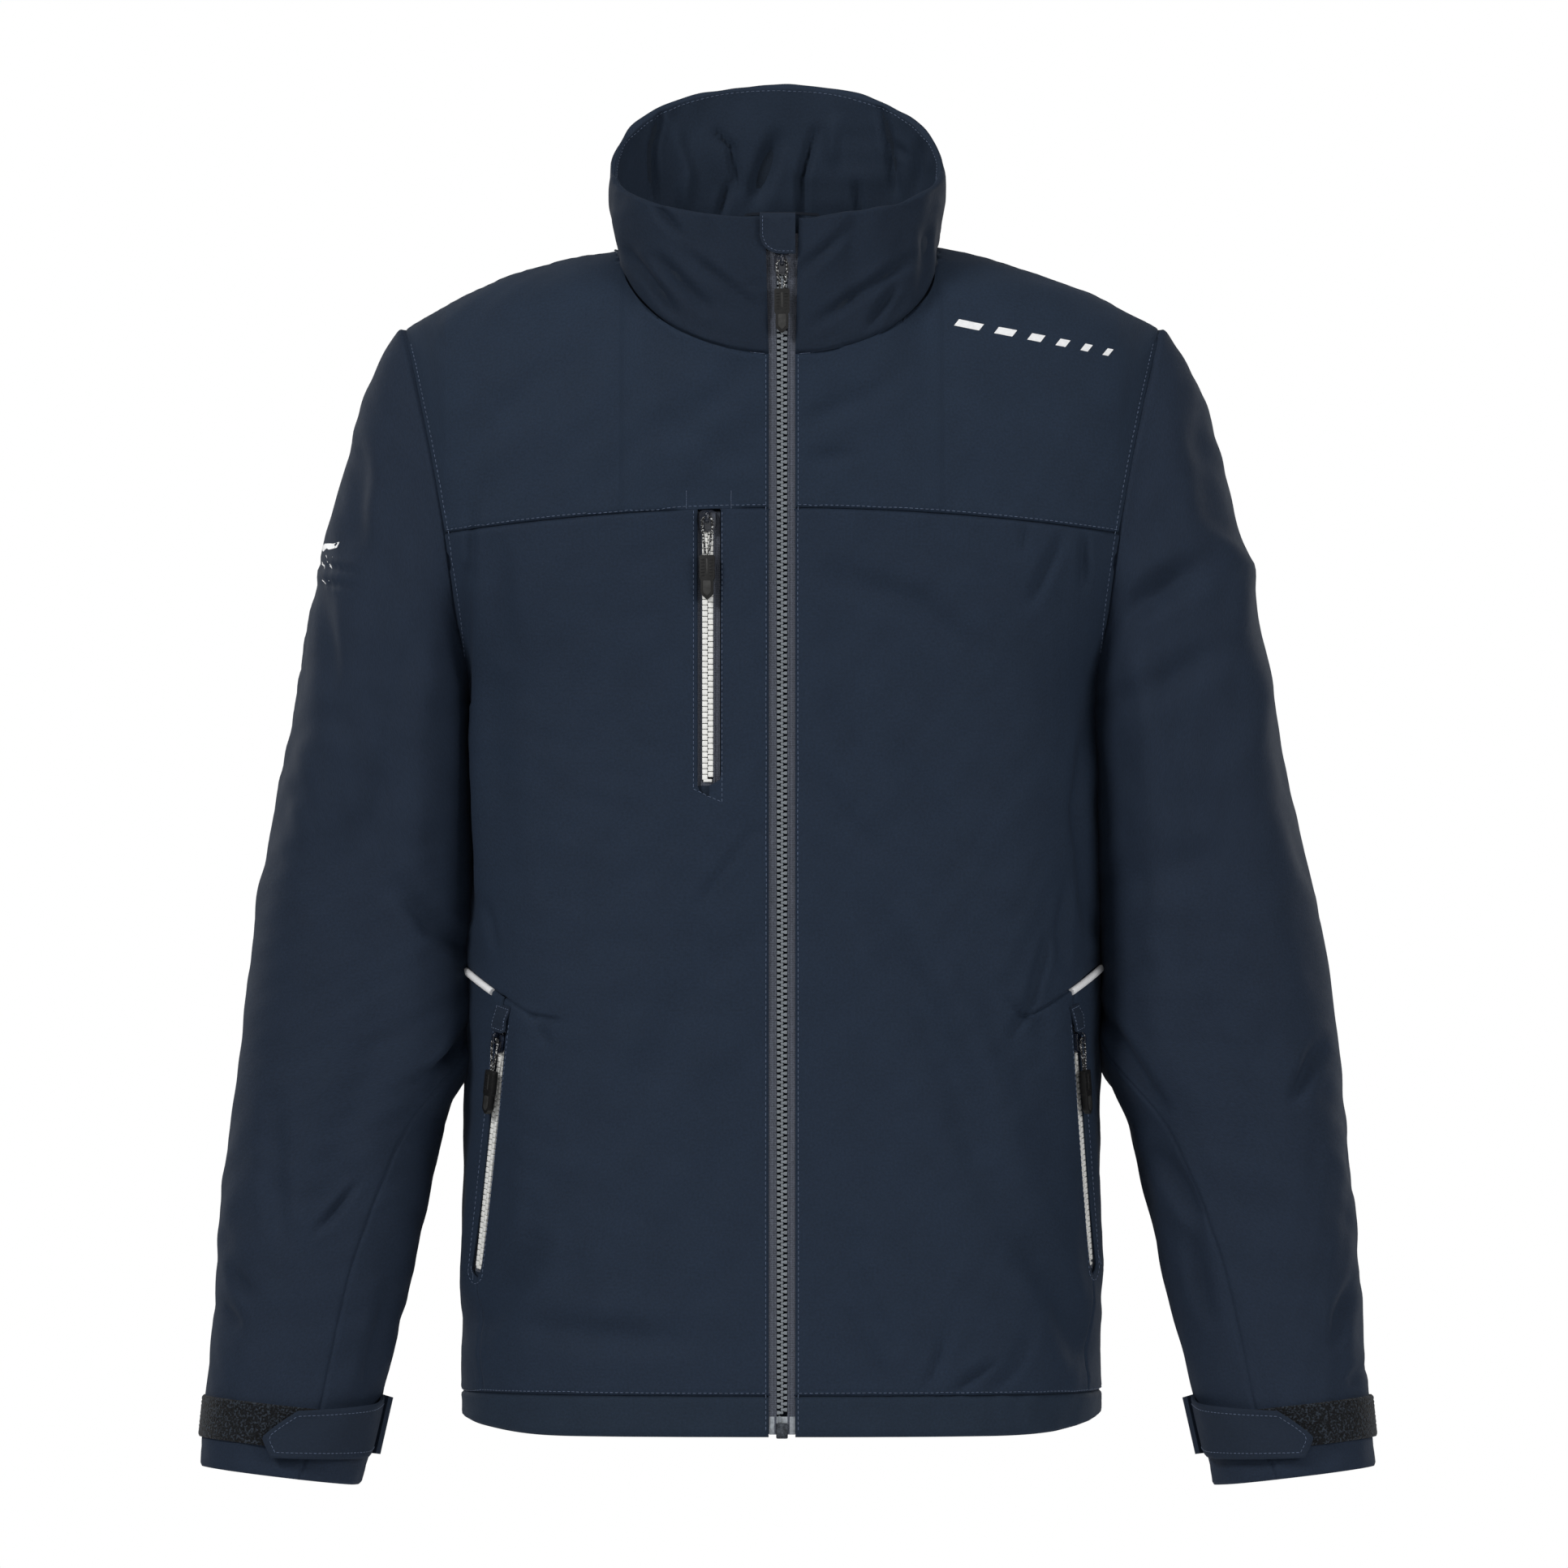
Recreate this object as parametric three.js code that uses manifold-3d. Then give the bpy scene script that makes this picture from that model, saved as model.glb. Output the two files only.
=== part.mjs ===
// A foul weather sailing jacket in its worn shape: hip length, stand-up collar, full-length front zip,
// one chest pocket and two hand pockets with zips, and set-in sleeves with hook-and-loop cuff tabs.
//
// Millimetres. +X is the wearer's left, -Y is the front and +Z is up. Sizes are worked out from the hem, which
// is z = 0 while the pieces are made; the finished group is then moved so that its origin is where a hook
// bears on the hanger loop. Names say right and left as the wearer does.
import * as THREE from "three";
import { mergeVertices } from "three/addons/utils/BufferGeometryUtils.js";
import Module from "manifold-3d";

const wasm = await Module();
wasm.setup();

// ---- Driving dimensions -------------------------------------------------------------------------------------
const FABRIC = 2.2; // shell and lining, laid together
const GAP = 0.3; // left between pieces that are sewn or glued on the real jacket

const TORSO = {
  halfWidth: 193.5, // below the armholes
  yokeHalfWidth: 235, // the section that the armholes are cut from
  roundness: 2.6, // exponent of the superelliptic section
  frontDepth: 148, // at the hem
  frontSlope: 0.062, // the front runs straight, leaning back by this much
  underarm: 440,
  yokeSeam: 557.5,
  backYokeSeam: 560,
  shoulderTip: { x: 229, z: 666.5 },
  shoulderTop: 716,
};
const BACK_DEPTH = [[0, 132], [150, 122], [300, 118], [450, 124], [560, 118], [760, 118]];
const NECK = { halfWidth: 98, side: 714, frontDrop: 64, backRise: 11 };
const RIM = { halfWidth: 101.5, side: 760, frontDrop: 29, backRise: 55, front: -102.5, widest: -24, back: 44 };
const COLLAR_SHIFT = -3; // the collar stands a little to the wearer's right of the zip
const HEM = { height: 24.5 };
const ZIP_EDGE = 8; // from the centre to the folded edge of each front

const LEAN = Math.atan(TORSO.frontSlope);
const HANGER = { y: 36, z: 738, halfSpan: 24, width: 8, strap: 1.6, drop: 20 };

// The hand pocket zips run down the front edge of the side panels. x and z are seen from the front.
const HAND_ZIPS = {
  right: { top: [-169, 247], bottom: [-185, 98] },
  left: { top: [177.5, 247], bottom: [188.5, 100] },
};
const CHEST_ZIP = { x: -44.8, bottom: 392, top: 556.5 };
const MAIN_ZIP = { top: 724, boxTop: 8.5, parked: 705.8 }; // the last two along the zip from the hem

// Sleeve stations from the upper arm to the cuff: centre, half sizes and how far the ring is tilted.
const SLEEVE = [
  // z, x, y, half width, half depth, tilt in radians
  [395, 248.6, 2, 53, 80, 0],
  [325, 254.6, 0, 59.2, 77, 0],
  [277, 258.6, -3, 62.8, 74, 0],
  [223, 262.6, -8, 66.5, 70, 0.02],
  [160, 273, -16, 62.6, 65, 0.05],
  [100, 282, -25, 58.5, 60, 0.08],
  [42, 291.5, -34, 54, 54, 0.1],
  [-26, 302.5, -46, 49.6, 47, 0.12],
];
const ELBOW = 325;
const SLEEVE_ROUNDNESS = 2.2;
const SLEEVE_SWING = { left: 7, right: 0 }; // how far each sleeve hangs out below the upper arm
const SLEEVE_GAP = 3; // from the body's edge, whose thickness turns with its curve
// The hook-and-loop band round the cuff. low and high are its edges' centreline heights at the two angles.
const STRIP = { angles: [-2.2, 1.9], low: [-8.5, -8.5], high: [16.5, 16.5] };
const PATCH = { angles: [1.45, 1.88], low: [-11.5, -9.5], high: [8.5, 12] };
const TAB = { angles: [1.35, 3.05], low: [-16, -7], high: [11.5, 28] };

// ---- Small maths --------------------------------------------------------------------------------------------
const V = (x, y, z) => new THREE.Vector3(x, y, z);
const clamp = (t, lo = 0, hi = 1) => Math.min(hi, Math.max(lo, t));
const lerp = (a, b, t) => a + (b - a) * t;
const smooth = (t) => {
  const c = clamp(t);
  return c * c * (3 - 2 * c);
};
const fall = (q, n) => Math.pow(Math.max(0, 1 - Math.pow(Math.abs(q), n)), 1 / n);
const power = (v, n) => Math.sign(v) * Math.pow(Math.abs(v), n);

// A smooth curve through rows [at, value, value, ...], with rising or falling order of at.
function table(rows) {
  const sorted = [...rows].sort((a, b) => a[0] - b[0]);
  const slope = (i, k) => {
    const a = sorted[Math.max(0, i - 1)];
    const b = sorted[Math.min(sorted.length - 1, i + 1)];
    return (b[k] - a[k]) / (b[0] - a[0]);
  };
  return (at) => {
    const t = clamp(at, sorted[0][0], sorted[sorted.length - 1][0]);
    let i = sorted.findIndex((row) => row[0] >= t) - 1;
    i = clamp(i, 0, sorted.length - 2);
    const [a, b] = [sorted[i], sorted[i + 1]];
    const h = b[0] - a[0];
    const u = (t - a[0]) / h;
    return a.slice(1).map((value, j) => {
      const k = j + 1;
      return (
        (2 * u ** 3 - 3 * u ** 2 + 1) * value +
        (u ** 3 - 2 * u ** 2 + u) * h * slope(i, k) +
        (3 * u ** 2 - 2 * u ** 3) * b[k] +
        (u ** 3 - u ** 2) * h * slope(i + 1, k)
      );
    });
  };
}

// ---- The body's surface -------------------------------------------------------------------------------------
const backDepthAt = table(BACK_DEPTH);
const frontDepth = (z) => TORSO.frontDepth - TORSO.frontSlope * z;
const backDepth = (z) => backDepthAt(z)[0];
const halfWidth = (z) =>
  lerp(TORSO.halfWidth, TORSO.yokeHalfWidth, smooth((z - TORSO.underarm) / (TORSO.yokeSeam - 6.5 - TORSO.underarm)));

// Height of the shoulder line. Inside the neck the front and back surfaces run on up, where the collar cuts them.
function shoulderLine(x, neckRise) {
  const out = Math.abs(x) - 90;
  if (out >= 0) return TORSO.shoulderTop - 0.0302 * Math.pow(out, 1.5);
  return TORSO.shoulderTop + neckRise * (1 - (x / 90) ** 2) ** 2;
}
const CLOSE_FROM = 551;
// Along the zip the front stays straight up to the collar.
const closeFront = (x, z) => {
  const closed = fall(clamp((z - CLOSE_FROM) / (shoulderLine(x, 284) - CLOSE_FROM)), 2.6);
  return lerp(1, closed, smooth(Math.abs(x) / 60));
};
const closeBack = (x, z) =>
  fall(clamp((z - TORSO.backYokeSeam) / (shoulderLine(x, 24) - TORSO.backYokeSeam)), 2.2);
const section = (x, z) => fall(x / halfWidth(z), TORSO.roundness);
const frontY = (x, z) => -frontDepth(z) * section(x, z) * closeFront(x, z);
const backY = (x, z) => backDepth(z) * section(x, z) * closeBack(x, z);

// Half the jacket's width where the sleeve is set in.
const armholeX = (z) => {
  const t = clamp((z - TORSO.underarm) / (TORSO.shoulderTip.z - 1.5 - TORSO.underarm));
  return TORSO.halfWidth + (TORSO.shoulderTip.x - TORSO.halfWidth) * Math.pow(t, 1.6);
};
const armholeZ = (x) =>
  TORSO.underarm +
  (TORSO.shoulderTip.z - 1.5 - TORSO.underarm) *
    Math.pow(clamp((Math.abs(x) - TORSO.halfWidth) / (TORSO.shoulderTip.x - TORSO.halfWidth)), 1 / 1.6);
const yokeSeamZ = (x) => TORSO.yokeSeam - 14.5 * (x / 201) ** 2;

// A point of the body: angle 0 is the centre of the front, 90 degrees the wearer's left side.
function bodyPoint(angle, z) {
  const n = 2 / TORSO.roundness;
  const x = halfWidth(z) * power(Math.sin(angle), n);
  const deep = Math.pow(Math.abs(Math.cos(angle)), n);
  if (Math.cos(angle) >= 0) return V(x, -frontDepth(z) * deep * closeFront(x, z), z);
  return V(x, backDepth(z) * deep * closeBack(x, z), z);
}
const angleAt = (x, z) =>
  Math.asin(clamp(Math.pow(clamp(Math.abs(x) / halfWidth(z)), TORSO.roundness / 2), 0, 1));

// ---- Solids -------------------------------------------------------------------------------------------------
// A sheet of cloth as a closed solid: point(i / nu, j / nv) is its face, and it has a thickness inwards.
// core(p) is any point on the inner side of p. A closed sheet joins its last column to its first.
function cloth(point, nu, nv, core, { outer = 0, inner = FABRIC, closed = false, keep = (p) => p } = {}) {
  const columns = closed ? nu : nu + 1;
  const face = [];
  for (let i = 0; i < columns; i++) {
    face.push([]);
    for (let j = 0; j <= nv; j++) face[i].push(point(i / nu, j / nv));
  }
  const around = (i) => (closed ? (i + columns) % columns : clamp(i, 0, nu));
  const normals = face.map((column, i) =>
    column.map((p, j) => {
      const du = face[around(i + 1)][j].clone().sub(face[around(i - 1)][j]);
      const dv = column[Math.min(nv, j + 1)].clone().sub(column[Math.max(0, j - 1)]);
      return du.cross(dv).normalize();
    }),
  );
  let facing = 0;
  face.forEach((column, i) =>
    column.forEach((p, j) => {
      facing += Math.sign(normals[i][j].dot(p.clone().sub(core(p))));
    }),
  );
  const sign = facing < 0 ? -1 : 1;
  const positions = [];
  const layer = (offset) =>
    face.forEach((column, i) =>
      column.forEach((p, j) => {
        const q = keep(p.clone().addScaledVector(normals[i][j], sign * offset));
        positions.push(q.x, q.y, q.z);
      }),
    );
  layer(outer);
  layer(-inner);
  const rows = nv + 1;
  const inside = columns * rows;
  const at = (i, j) => around(i) * rows + j;
  const index = [];
  const quad = (a, b, c, d) => index.push(a, b, c, a, c, d);
  for (let i = 0; i < (closed ? columns : nu); i++) {
    for (let j = 0; j < nv; j++) {
      quad(at(i, j), at(i + 1, j), at(i + 1, j + 1), at(i, j + 1));
      quad(inside + at(i, j), inside + at(i, j + 1), inside + at(i + 1, j + 1), inside + at(i + 1, j));
    }
    quad(at(i + 1, 0), at(i, 0), inside + at(i, 0), inside + at(i + 1, 0));
    quad(at(i, nv), at(i + 1, nv), inside + at(i + 1, nv), inside + at(i, nv));
  }
  for (let j = 0; j < nv && !closed; j++) {
    quad(at(0, j), at(0, j + 1), inside + at(0, j + 1), inside + at(0, j));
    quad(at(nu, j + 1), at(nu, j), inside + at(nu, j), inside + at(nu, j + 1));
  }
  if (sign < 0) {
    for (let i = 0; i < index.length; i += 3) [index[i + 1], index[i + 2]] = [index[i + 2], index[i + 1]];
  }
  return new THREE.BufferGeometry()
    .setAttribute("position", new THREE.BufferAttribute(new Float32Array(positions), 3))
    .setIndex(index);
}

function solidOf(geometry) {
  const bare = geometry.clone();
  bare.deleteAttribute("normal");
  bare.deleteAttribute("uv");
  const merged = mergeVertices(bare, 1e-3);
  return new wasm.Manifold(
    new wasm.Mesh({
      numProp: 3,
      vertProperties: merged.attributes.position.array,
      triVerts: new Uint32Array(merged.index.array),
    }),
  );
}

function geometryOf(solid) {
  const mesh = solid.getMesh();
  return new THREE.BufferGeometry()
    .setAttribute("position", new THREE.BufferAttribute(new Float32Array(mesh.vertProperties), 3))
    .setIndex(new THREE.BufferAttribute(new Uint32Array(mesh.triVerts), 1));
}

// What is left of a after each of the others is cut away, without any crumb that a cut leaves behind.
function cut(a, ...others) {
  const left = others.reduce((solid, b) => solid.subtract(solidOf(b)), solidOf(a));
  return geometryOf(left.decompose().reduce((big, body) => (body.volume() > big.volume() ? body : big)));
}
const join = (a, ...others) => geometryOf(others.reduce((all, b) => all.add(solidOf(b)), solidOf(a)));

const box = (x, y, z) =>
  new THREE.BoxGeometry(x[1] - x[0], y[1] - y[0], z[1] - z[0]).translate(
    (x[0] + x[1]) / 2,
    (y[0] + y[1]) / 2,
    (z[0] + z[1]) / 2,
  );

// An outline in x and z, extruded along y.
function plate(points, y0, y1) {
  const shape = new THREE.Shape(points.map(([x, z]) => new THREE.Vector2(x, z)));
  return new THREE.ExtrudeGeometry(shape, { depth: y1 - y0, bevelEnabled: false })
    .rotateX(Math.PI / 2)
    .translate(0, y1, 0);
}

// ---- Materials and nodes ------------------------------------------------------------------------------------
const finish = (color, roughness, metalness = 0) => new THREE.MeshStandardMaterial({ color, roughness, metalness });
const MATERIAL = {
  shell: finish(0x252f3c, 0.85),
  lining: finish(0x242c38, 0.9),
  tape: finish(0x3e4349, 0.9),
  teeth: finish(0x565d64, 0.5),
  whiteTeeth: finish(0xdad9d4, 0.5),
  metal: finish(0x2b2e31, 0.35, 0.9),
  cord: finish(0x1b1b1c, 0.8),
  rubber: finish(0x1c1c1b, 0.6),
  reflective: finish(0xd9dbe0, 0.4),
  loop: finish(0x20242b, 1),
};
const jacket = new THREE.Group();

function add(name, geometry, material, parent = jacket) {
  const mesh = new THREE.Mesh(geometry, material);
  mesh.name = name;
  parent.add(mesh);
  return mesh;
}

const bodyCore = (p) => V(0, -10, p.z);
const mirrored = (point, side) => (u, v) => {
  const p = point(u, v);
  p.x *= side;
  return p;
};
const SIDES = [["left", 1], ["right", -1]];

// ---- Zips ---------------------------------------------------------------------------------------------------
// A zip's own frame: x across it, y into the jacket with 0 at the shell's face, z along it from its lower end.
const TEETH = { half: 2.95, front: 1.7, back: 4.5 };
const TAPE = { inner: 3.25, outer: 14, front: 2.7, back: 3.5 };
const SLIDER = { length: 13, half: 4.9, face: -1.2, underside: 1.3, flange: 3.35, foot: 2.4 };
const BAIL = { half: 1.2, front: -5.6, low: -1, high: 5.4, eye: [-4.6, -1.9], eyeZ: [0.4, 4] };
const PIVOT = { y: -3.25, z: 2.2 }; // the middle of the bail's eye
const CORD = { radius: 0.9, bend: 3.1, spread: 1.25 };
const GRIP = { length: 27, half: 4.6, tipHalf: 3.8, step: 14, thick: [-5.4, -1.4] };

function frameOf(low, high, outward) {
  const along = high.clone().sub(low);
  const length = along.length();
  along.normalize();
  const into = outward.clone().addScaledVector(along, -outward.dot(along)).normalize().negate();
  const across = into.clone().cross(along);
  const group = new THREE.Group();
  group.applyMatrix4(new THREE.Matrix4().makeBasis(across, into, along).setPosition(low));
  jacket.add(group);
  return { group, length };
}

// A slider's front plate and side flanges, which straddle the teeth, and the bail that holds the pull.
function sliderGeometry() {
  const half = SLIDER.half;
  const outline = [
    [-half * 0.72, -SLIDER.length / 2],
    [half * 0.72, -SLIDER.length / 2],
    [half, -SLIDER.length / 2 + 3],
    [half, SLIDER.length / 2 - 2],
    [half * 0.7, SLIDER.length / 2],
    [-half * 0.7, SLIDER.length / 2],
    [-half, SLIDER.length / 2 - 2],
    [-half, -SLIDER.length / 2 + 3],
  ];
  const shell = plate(outline, SLIDER.face, SLIDER.foot);
  const channel = box([-SLIDER.flange, SLIDER.flange], [SLIDER.underside, SLIDER.foot + 1], [-9, 9]);
  const bail = box([-BAIL.half, BAIL.half], [BAIL.front, SLIDER.face + 0.5], [BAIL.low, BAIL.high]);
  const eye = box([-3, 3], BAIL.eye, BAIL.eyeZ);
  return cut(join(cut(shell, channel), bail), eye);
}

// The cord's loop: through the bail's eye and down into the grip.
function pullCordGeometry(reach) {
  const { bend, spread } = CORD;
  const points = [];
  const half = [
    [spread, GAP - reach],
    [spread + 0.1, 3.6 - reach],
    [bend * 0.86, -9],
    [bend, -4.6],
  ];
  half.forEach(([x, z]) => points.push(V(-x, PIVOT.y, PIVOT.z + z)));
  for (let k = 1; k < 8; k++) {
    const a = Math.PI - (k * Math.PI) / 8;
    points.push(V(bend * Math.cos(a), PIVOT.y, PIVOT.z - bend + bend * Math.sin(a)));
  }
  half.reverse().forEach(([x, z]) => points.push(V(x, PIVOT.y, PIVOT.z + z)));
  const ring = new THREE.Shape();
  ring.absarc(0, 0, CORD.radius, 0, 2 * Math.PI);
  return new THREE.ExtrudeGeometry(ring, {
    curveSegments: 4,
    steps: 20,
    extrudePath: new THREE.CatmullRomCurve3(points),
  });
}

// The moulded grip: a wide upper half, a narrower lower half and a blunt point.
function gripGeometry(reach) {
  const { half, tipHalf, length, step } = GRIP;
  const outline = [
    [-half, 0],
    [-half, -step],
    [-tipHalf, -step - 1],
    [-tipHalf, 3.5 - length],
    [0, -length],
    [tipHalf, 3.5 - length],
    [tipHalf, -step - 1],
    [half, -step],
    [half, 0],
  ];
  return plate(outline.map(([x, z]) => [x, z + PIVOT.z - reach]), GRIP.thick[0], GRIP.thick[1]);
}

// Slider, cord and grip, parked with the slider's middle at z. The grip starts at reach below the bail's eye.
function addPull(name, zip, z, reach) {
  const parked = new THREE.Group();
  parked.position.set(0, 0, z);
  zip.group.add(parked);
  add(name + "_slider", sliderGeometry(), MATERIAL.metal, parked);
  add(name + "_pull_cord", pullCordGeometry(reach), MATERIAL.cord, parked);
  add(name + "_pull_grip", gripGeometry(reach), MATERIAL.rubber, parked);
}

// One side's tape, or its row of teeth, from z0 to z1.
const tapeGeometry = (side, z0, z1, outer = TAPE.outer, sunk = 0) =>
  box([side * TAPE.inner, side * outer].sort((a, b) => a - b), [TAPE.front + sunk, TAPE.back + sunk], [z0, z1]);
const teethGeometry = (side, z0, z1) =>
  box([side * 0.15, side * TEETH.half].sort((a, b) => a - b), [TEETH.front, TEETH.back], [z0, z1]);

// A pocket's zip: its two tapes join in a bar below the teeth, so they are one piece here.
function addPocketZip(name, zip, z0, z1, outer) {
  const sunk = 0.6;
  const across = [-TAPE.inner - 1, TAPE.inner + 1];
  const bar = box(across, [TAPE.front + sunk, TAPE.back + sunk], [z0 - 5, z0 - 1]);
  const tapes = SIDES.map(([, side]) => tapeGeometry(side, z0 - 5, z1, outer, sunk));
  add(name + "_tape", join(...tapes, bar), MATERIAL.tape, zip.group);
  add(name + "_teeth", box([-TEETH.half, TEETH.half], [TEETH.front, TEETH.back], [z0, z1]), MATERIAL.whiteTeeth,
    zip.group);
}

const mainZip = frameOf(V(0, -frontDepth(0), 0), V(0, -frontDepth(MAIN_ZIP.top), MAIN_ZIP.top), V(0, -1, 0));
const chestZip = frameOf(
  V(CHEST_ZIP.x, frontY(CHEST_ZIP.x, CHEST_ZIP.bottom), CHEST_ZIP.bottom),
  V(CHEST_ZIP.x, frontY(CHEST_ZIP.x, CHEST_ZIP.top), CHEST_ZIP.top),
  V(-0.06, -1, 0),
);
const bodyNormal = (x, z) => {
  const step = 2;
  const across = V(step, frontY(x + step, z) - frontY(x, z), 0);
  const up = V(0, frontY(x, z + step) - frontY(x, z), step);
  return across.cross(up).normalize();
};
const handZips = {};
for (const [name, { top, bottom }] of Object.entries(HAND_ZIPS)) {
  const middle = [(top[0] + bottom[0]) / 2, (top[1] + bottom[1]) / 2];
  handZips[name] = frameOf(
    V(bottom[0], frontY(...bottom), bottom[1]),
    V(top[0], frontY(...top), top[1]),
    bodyNormal(...middle),
  );
}
const placed = (geometry, zip) => geometry.clone().applyMatrix4(zip.group.matrix);

// ---- Collar -------------------------------------------------------------------------------------------------
// Angle 0 is the centre of the front, and t runs from the neck seam to the rim.
function collarPoint(angle, t) {
  const [s, c] = [Math.sin(angle), Math.cos(angle)];
  const onZip = smooth((c - 0.9) / 0.08);
  const baseX = NECK.halfWidth * s;
  const baseZ = c > 0 ? NECK.side - NECK.frontDrop * c : NECK.side - NECK.backRise * c;
  const flat = 0.82; // squares the loops a little, as the neck seam on the yokes is
  const rimZ = c > 0 ? RIM.side - RIM.frontDrop * c : RIM.side + RIM.backRise * Math.pow(-c, 0.9);
  const baseY = c > 0 ? -frontDepth(650) * Math.pow(c, flat) : 56 * Math.pow(-c, flat);
  const rimY = lerp(RIM.widest, c > 0 ? RIM.front : RIM.back, Math.pow(Math.abs(c), flat));
  const swell = 1 + 0.018 * Math.sin(Math.PI * t) * Math.abs(s);
  const rimX = RIM.halfWidth * Math.sign(s) * Math.pow(Math.abs(s), 0.92) + COLLAR_SHIFT * (1 - onZip);
  const z = lerp(baseZ + GAP, rimZ, t);
  const y = lerp(baseY, rimY, t);
  return V(lerp(baseX, rimX, t) * swell, lerp(y, -frontDepth(z), onZip), z);
}
const collarCore = (p) => V(0, -25, p.z);
const collarFrom = Math.asin(ZIP_EDGE / NECK.halfWidth);
const collarSheet = (from, low, high) => (u, v) => collarPoint(lerp(from, 2 * Math.PI - from, u), lerp(low, high, v));

// The collar grown by a gap, which the yokes are cut by.
const collarCutter = cloth(collarSheet(collarFrom, -0.02, 1), 36, 4, collarCore, {
  outer: 2 * GAP,
  inner: FABRIC + 4 * GAP,
});

// ---- Body panels --------------------------------------------------------------------------------------------
const SLOT = { chest: 7, hand: 8.2, deep: 12, beyond: 6 };
const pocketLineX = (side, z) => {
  const { top, bottom } = HAND_ZIPS[side];
  return lerp(Math.abs(bottom[0]), Math.abs(top[0]), (z - bottom[1]) / (top[1] - bottom[1]));
};
const SIDE_PANEL = { back: THREE.MathUtils.degToRad(118), frontTop: 264, sideTop: 282, backTop: 290 };
const sidePanelTop = (angle) =>
  angle < Math.PI / 2
    ? lerp(SIDE_PANEL.frontTop, SIDE_PANEL.sideTop, smooth((angle - 0.95) / (Math.PI / 2 - 0.95)))
    : lerp(SIDE_PANEL.sideTop, SIDE_PANEL.backTop, (angle - Math.PI / 2) / (SIDE_PANEL.back - Math.PI / 2));

// The side panel's face, grown by margin at every edge.
function sidePanelPoint(side, margin) {
  return (u, v) => {
    let z = 150;
    let angle = 1;
    for (let k = 0; k < 4; k++) {
      const front = angleAt(Math.min(pocketLineX(side, z) + 0.15 - margin, TORSO.halfWidth - 0.5), z);
      angle = lerp(front, SIDE_PANEL.back + margin / 150, u);
      z = lerp(HEM.height + GAP - margin * 2, sidePanelTop(angle) + margin, v);
    }
    return bodyPoint(angle, z);
  };
}

function frontPanelPoint(u, v) {
  let z = 300;
  let p = V(100 * u, 0, 300);
  for (let k = 0; k < 5; k++) {
    z = lerp(HEM.height + GAP, yokeSeamZ(p.x) - GAP, v);
    const last = z < TORSO.underarm ? Math.PI / 2 - 0.002 : angleAt(armholeX(z) - GAP, z);
    p = bodyPoint(lerp(angleAt(ZIP_EDGE, z), last, Math.pow(u, 0.85)), z);
  }
  return p;
}

function backPanelPoint(u, v) {
  const z = lerp(HEM.height + GAP, TORSO.backYokeSeam - GAP, v);
  const side = z < TORSO.underarm ? Math.PI / 2 + 0.002 : Math.PI - angleAt(armholeX(z) - GAP, z);
  return bodyPoint(lerp(side, 2 * Math.PI - side, u), z);
}

const hemPoint = (from, to) => (u, v) => bodyPoint(lerp(from, to, u), lerp(0, HEM.height, v));

// The yokes run from their seam up to the neck and the shoulder line, over the columns x.
function yokePoint(xs, low, neck, surface, away) {
  return (u, v) => {
    const x = xs(u);
    const top = Math.abs(x) < NECK.halfWidth - 0.5 ? neck(x) - GAP : shoulderLine(x, 0);
    const bottom = Math.max(low(x) + GAP, Math.abs(x) > TORSO.halfWidth ? armholeZ(x) + GAP : 0);
    const z = lerp(Math.min(bottom, top - 0.5), top, 1 - Math.pow(1 - v, 2));
    const y = surface(x, Math.min(z, shoulderLine(x, 0) + 300));
    return V(x, away < 0 ? Math.min(y, -GAP / 2) : Math.max(y, GAP / 2), z);
  };
}
const frontNeck = (x) => NECK.side - NECK.frontDrop * fall(x / NECK.halfWidth, 2);
const backNeck = (x) => NECK.side + NECK.backRise * fall(x / NECK.halfWidth, 2);
const yokeColumns = (from) => (u) => {
  const neckShare = 0.5;
  if (u < neckShare) return lerp(from, NECK.halfWidth, Math.sin((u / neckShare) * (Math.PI / 2)));
  return lerp(NECK.halfWidth, TORSO.shoulderTip.x - 3, (u - neckShare) / (1 - neckShare));
};

for (const [name, side] of SIDES) {
  const zip = handZips[name];
  const along = [-SLOT.beyond, zip.length + SLOT.beyond];
  const slot = placed(box([-SLOT.hand, SLOT.hand], [-SLOT.deep, SLOT.deep], along), zip);
  const sideCutter = cloth(mirrored(sidePanelPoint(name, GAP), side), 8, 6, bodyCore, { outer: 8, inner: 12 });
  const cutters = [sideCutter, slot];
  if (name === "right") {
    const chestAlong = [-SLOT.beyond, chestZip.length + SLOT.beyond];
    cutters.push(placed(box([-SLOT.chest, SLOT.chest], [-SLOT.deep, SLOT.deep], chestAlong), chestZip));
  }
  const front = cloth(mirrored(frontPanelPoint, side), 12, 12, bodyCore, {
    keep: (p) => V(side * Math.max(side * p.x, ZIP_EDGE), p.y, p.z),
  });
  add(name + "_front_panel", cut(front, ...cutters), MATERIAL.shell);
  add(
    name + "_side_panel",
    cut(cloth(mirrored(sidePanelPoint(name, 0), side), 8, 6, bodyCore), slot),
    MATERIAL.shell,
  );
  const from = angleAt(ZIP_EDGE, 10);
  add(
    name + "_front_hem",
    cloth(mirrored(hemPoint(from, Math.PI / 2 - 0.002), side), 12, 1, bodyCore, {
      keep: (p) => V(side * Math.max(side * p.x, ZIP_EDGE), p.y, p.z),
    }),
    MATERIAL.shell,
  );
  const yoke = cloth(
    mirrored(yokePoint(yokeColumns(ZIP_EDGE), yokeSeamZ, frontNeck, frontY, -1), side),
    18,
    7,
    bodyCore,
    { keep: (p) => V(side * Math.max(side * p.x, ZIP_EDGE), Math.min(p.y, -GAP / 2), p.z) },
  );
  add(name + "_front_yoke", cut(yoke, collarCutter), MATERIAL.shell);
}

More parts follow.
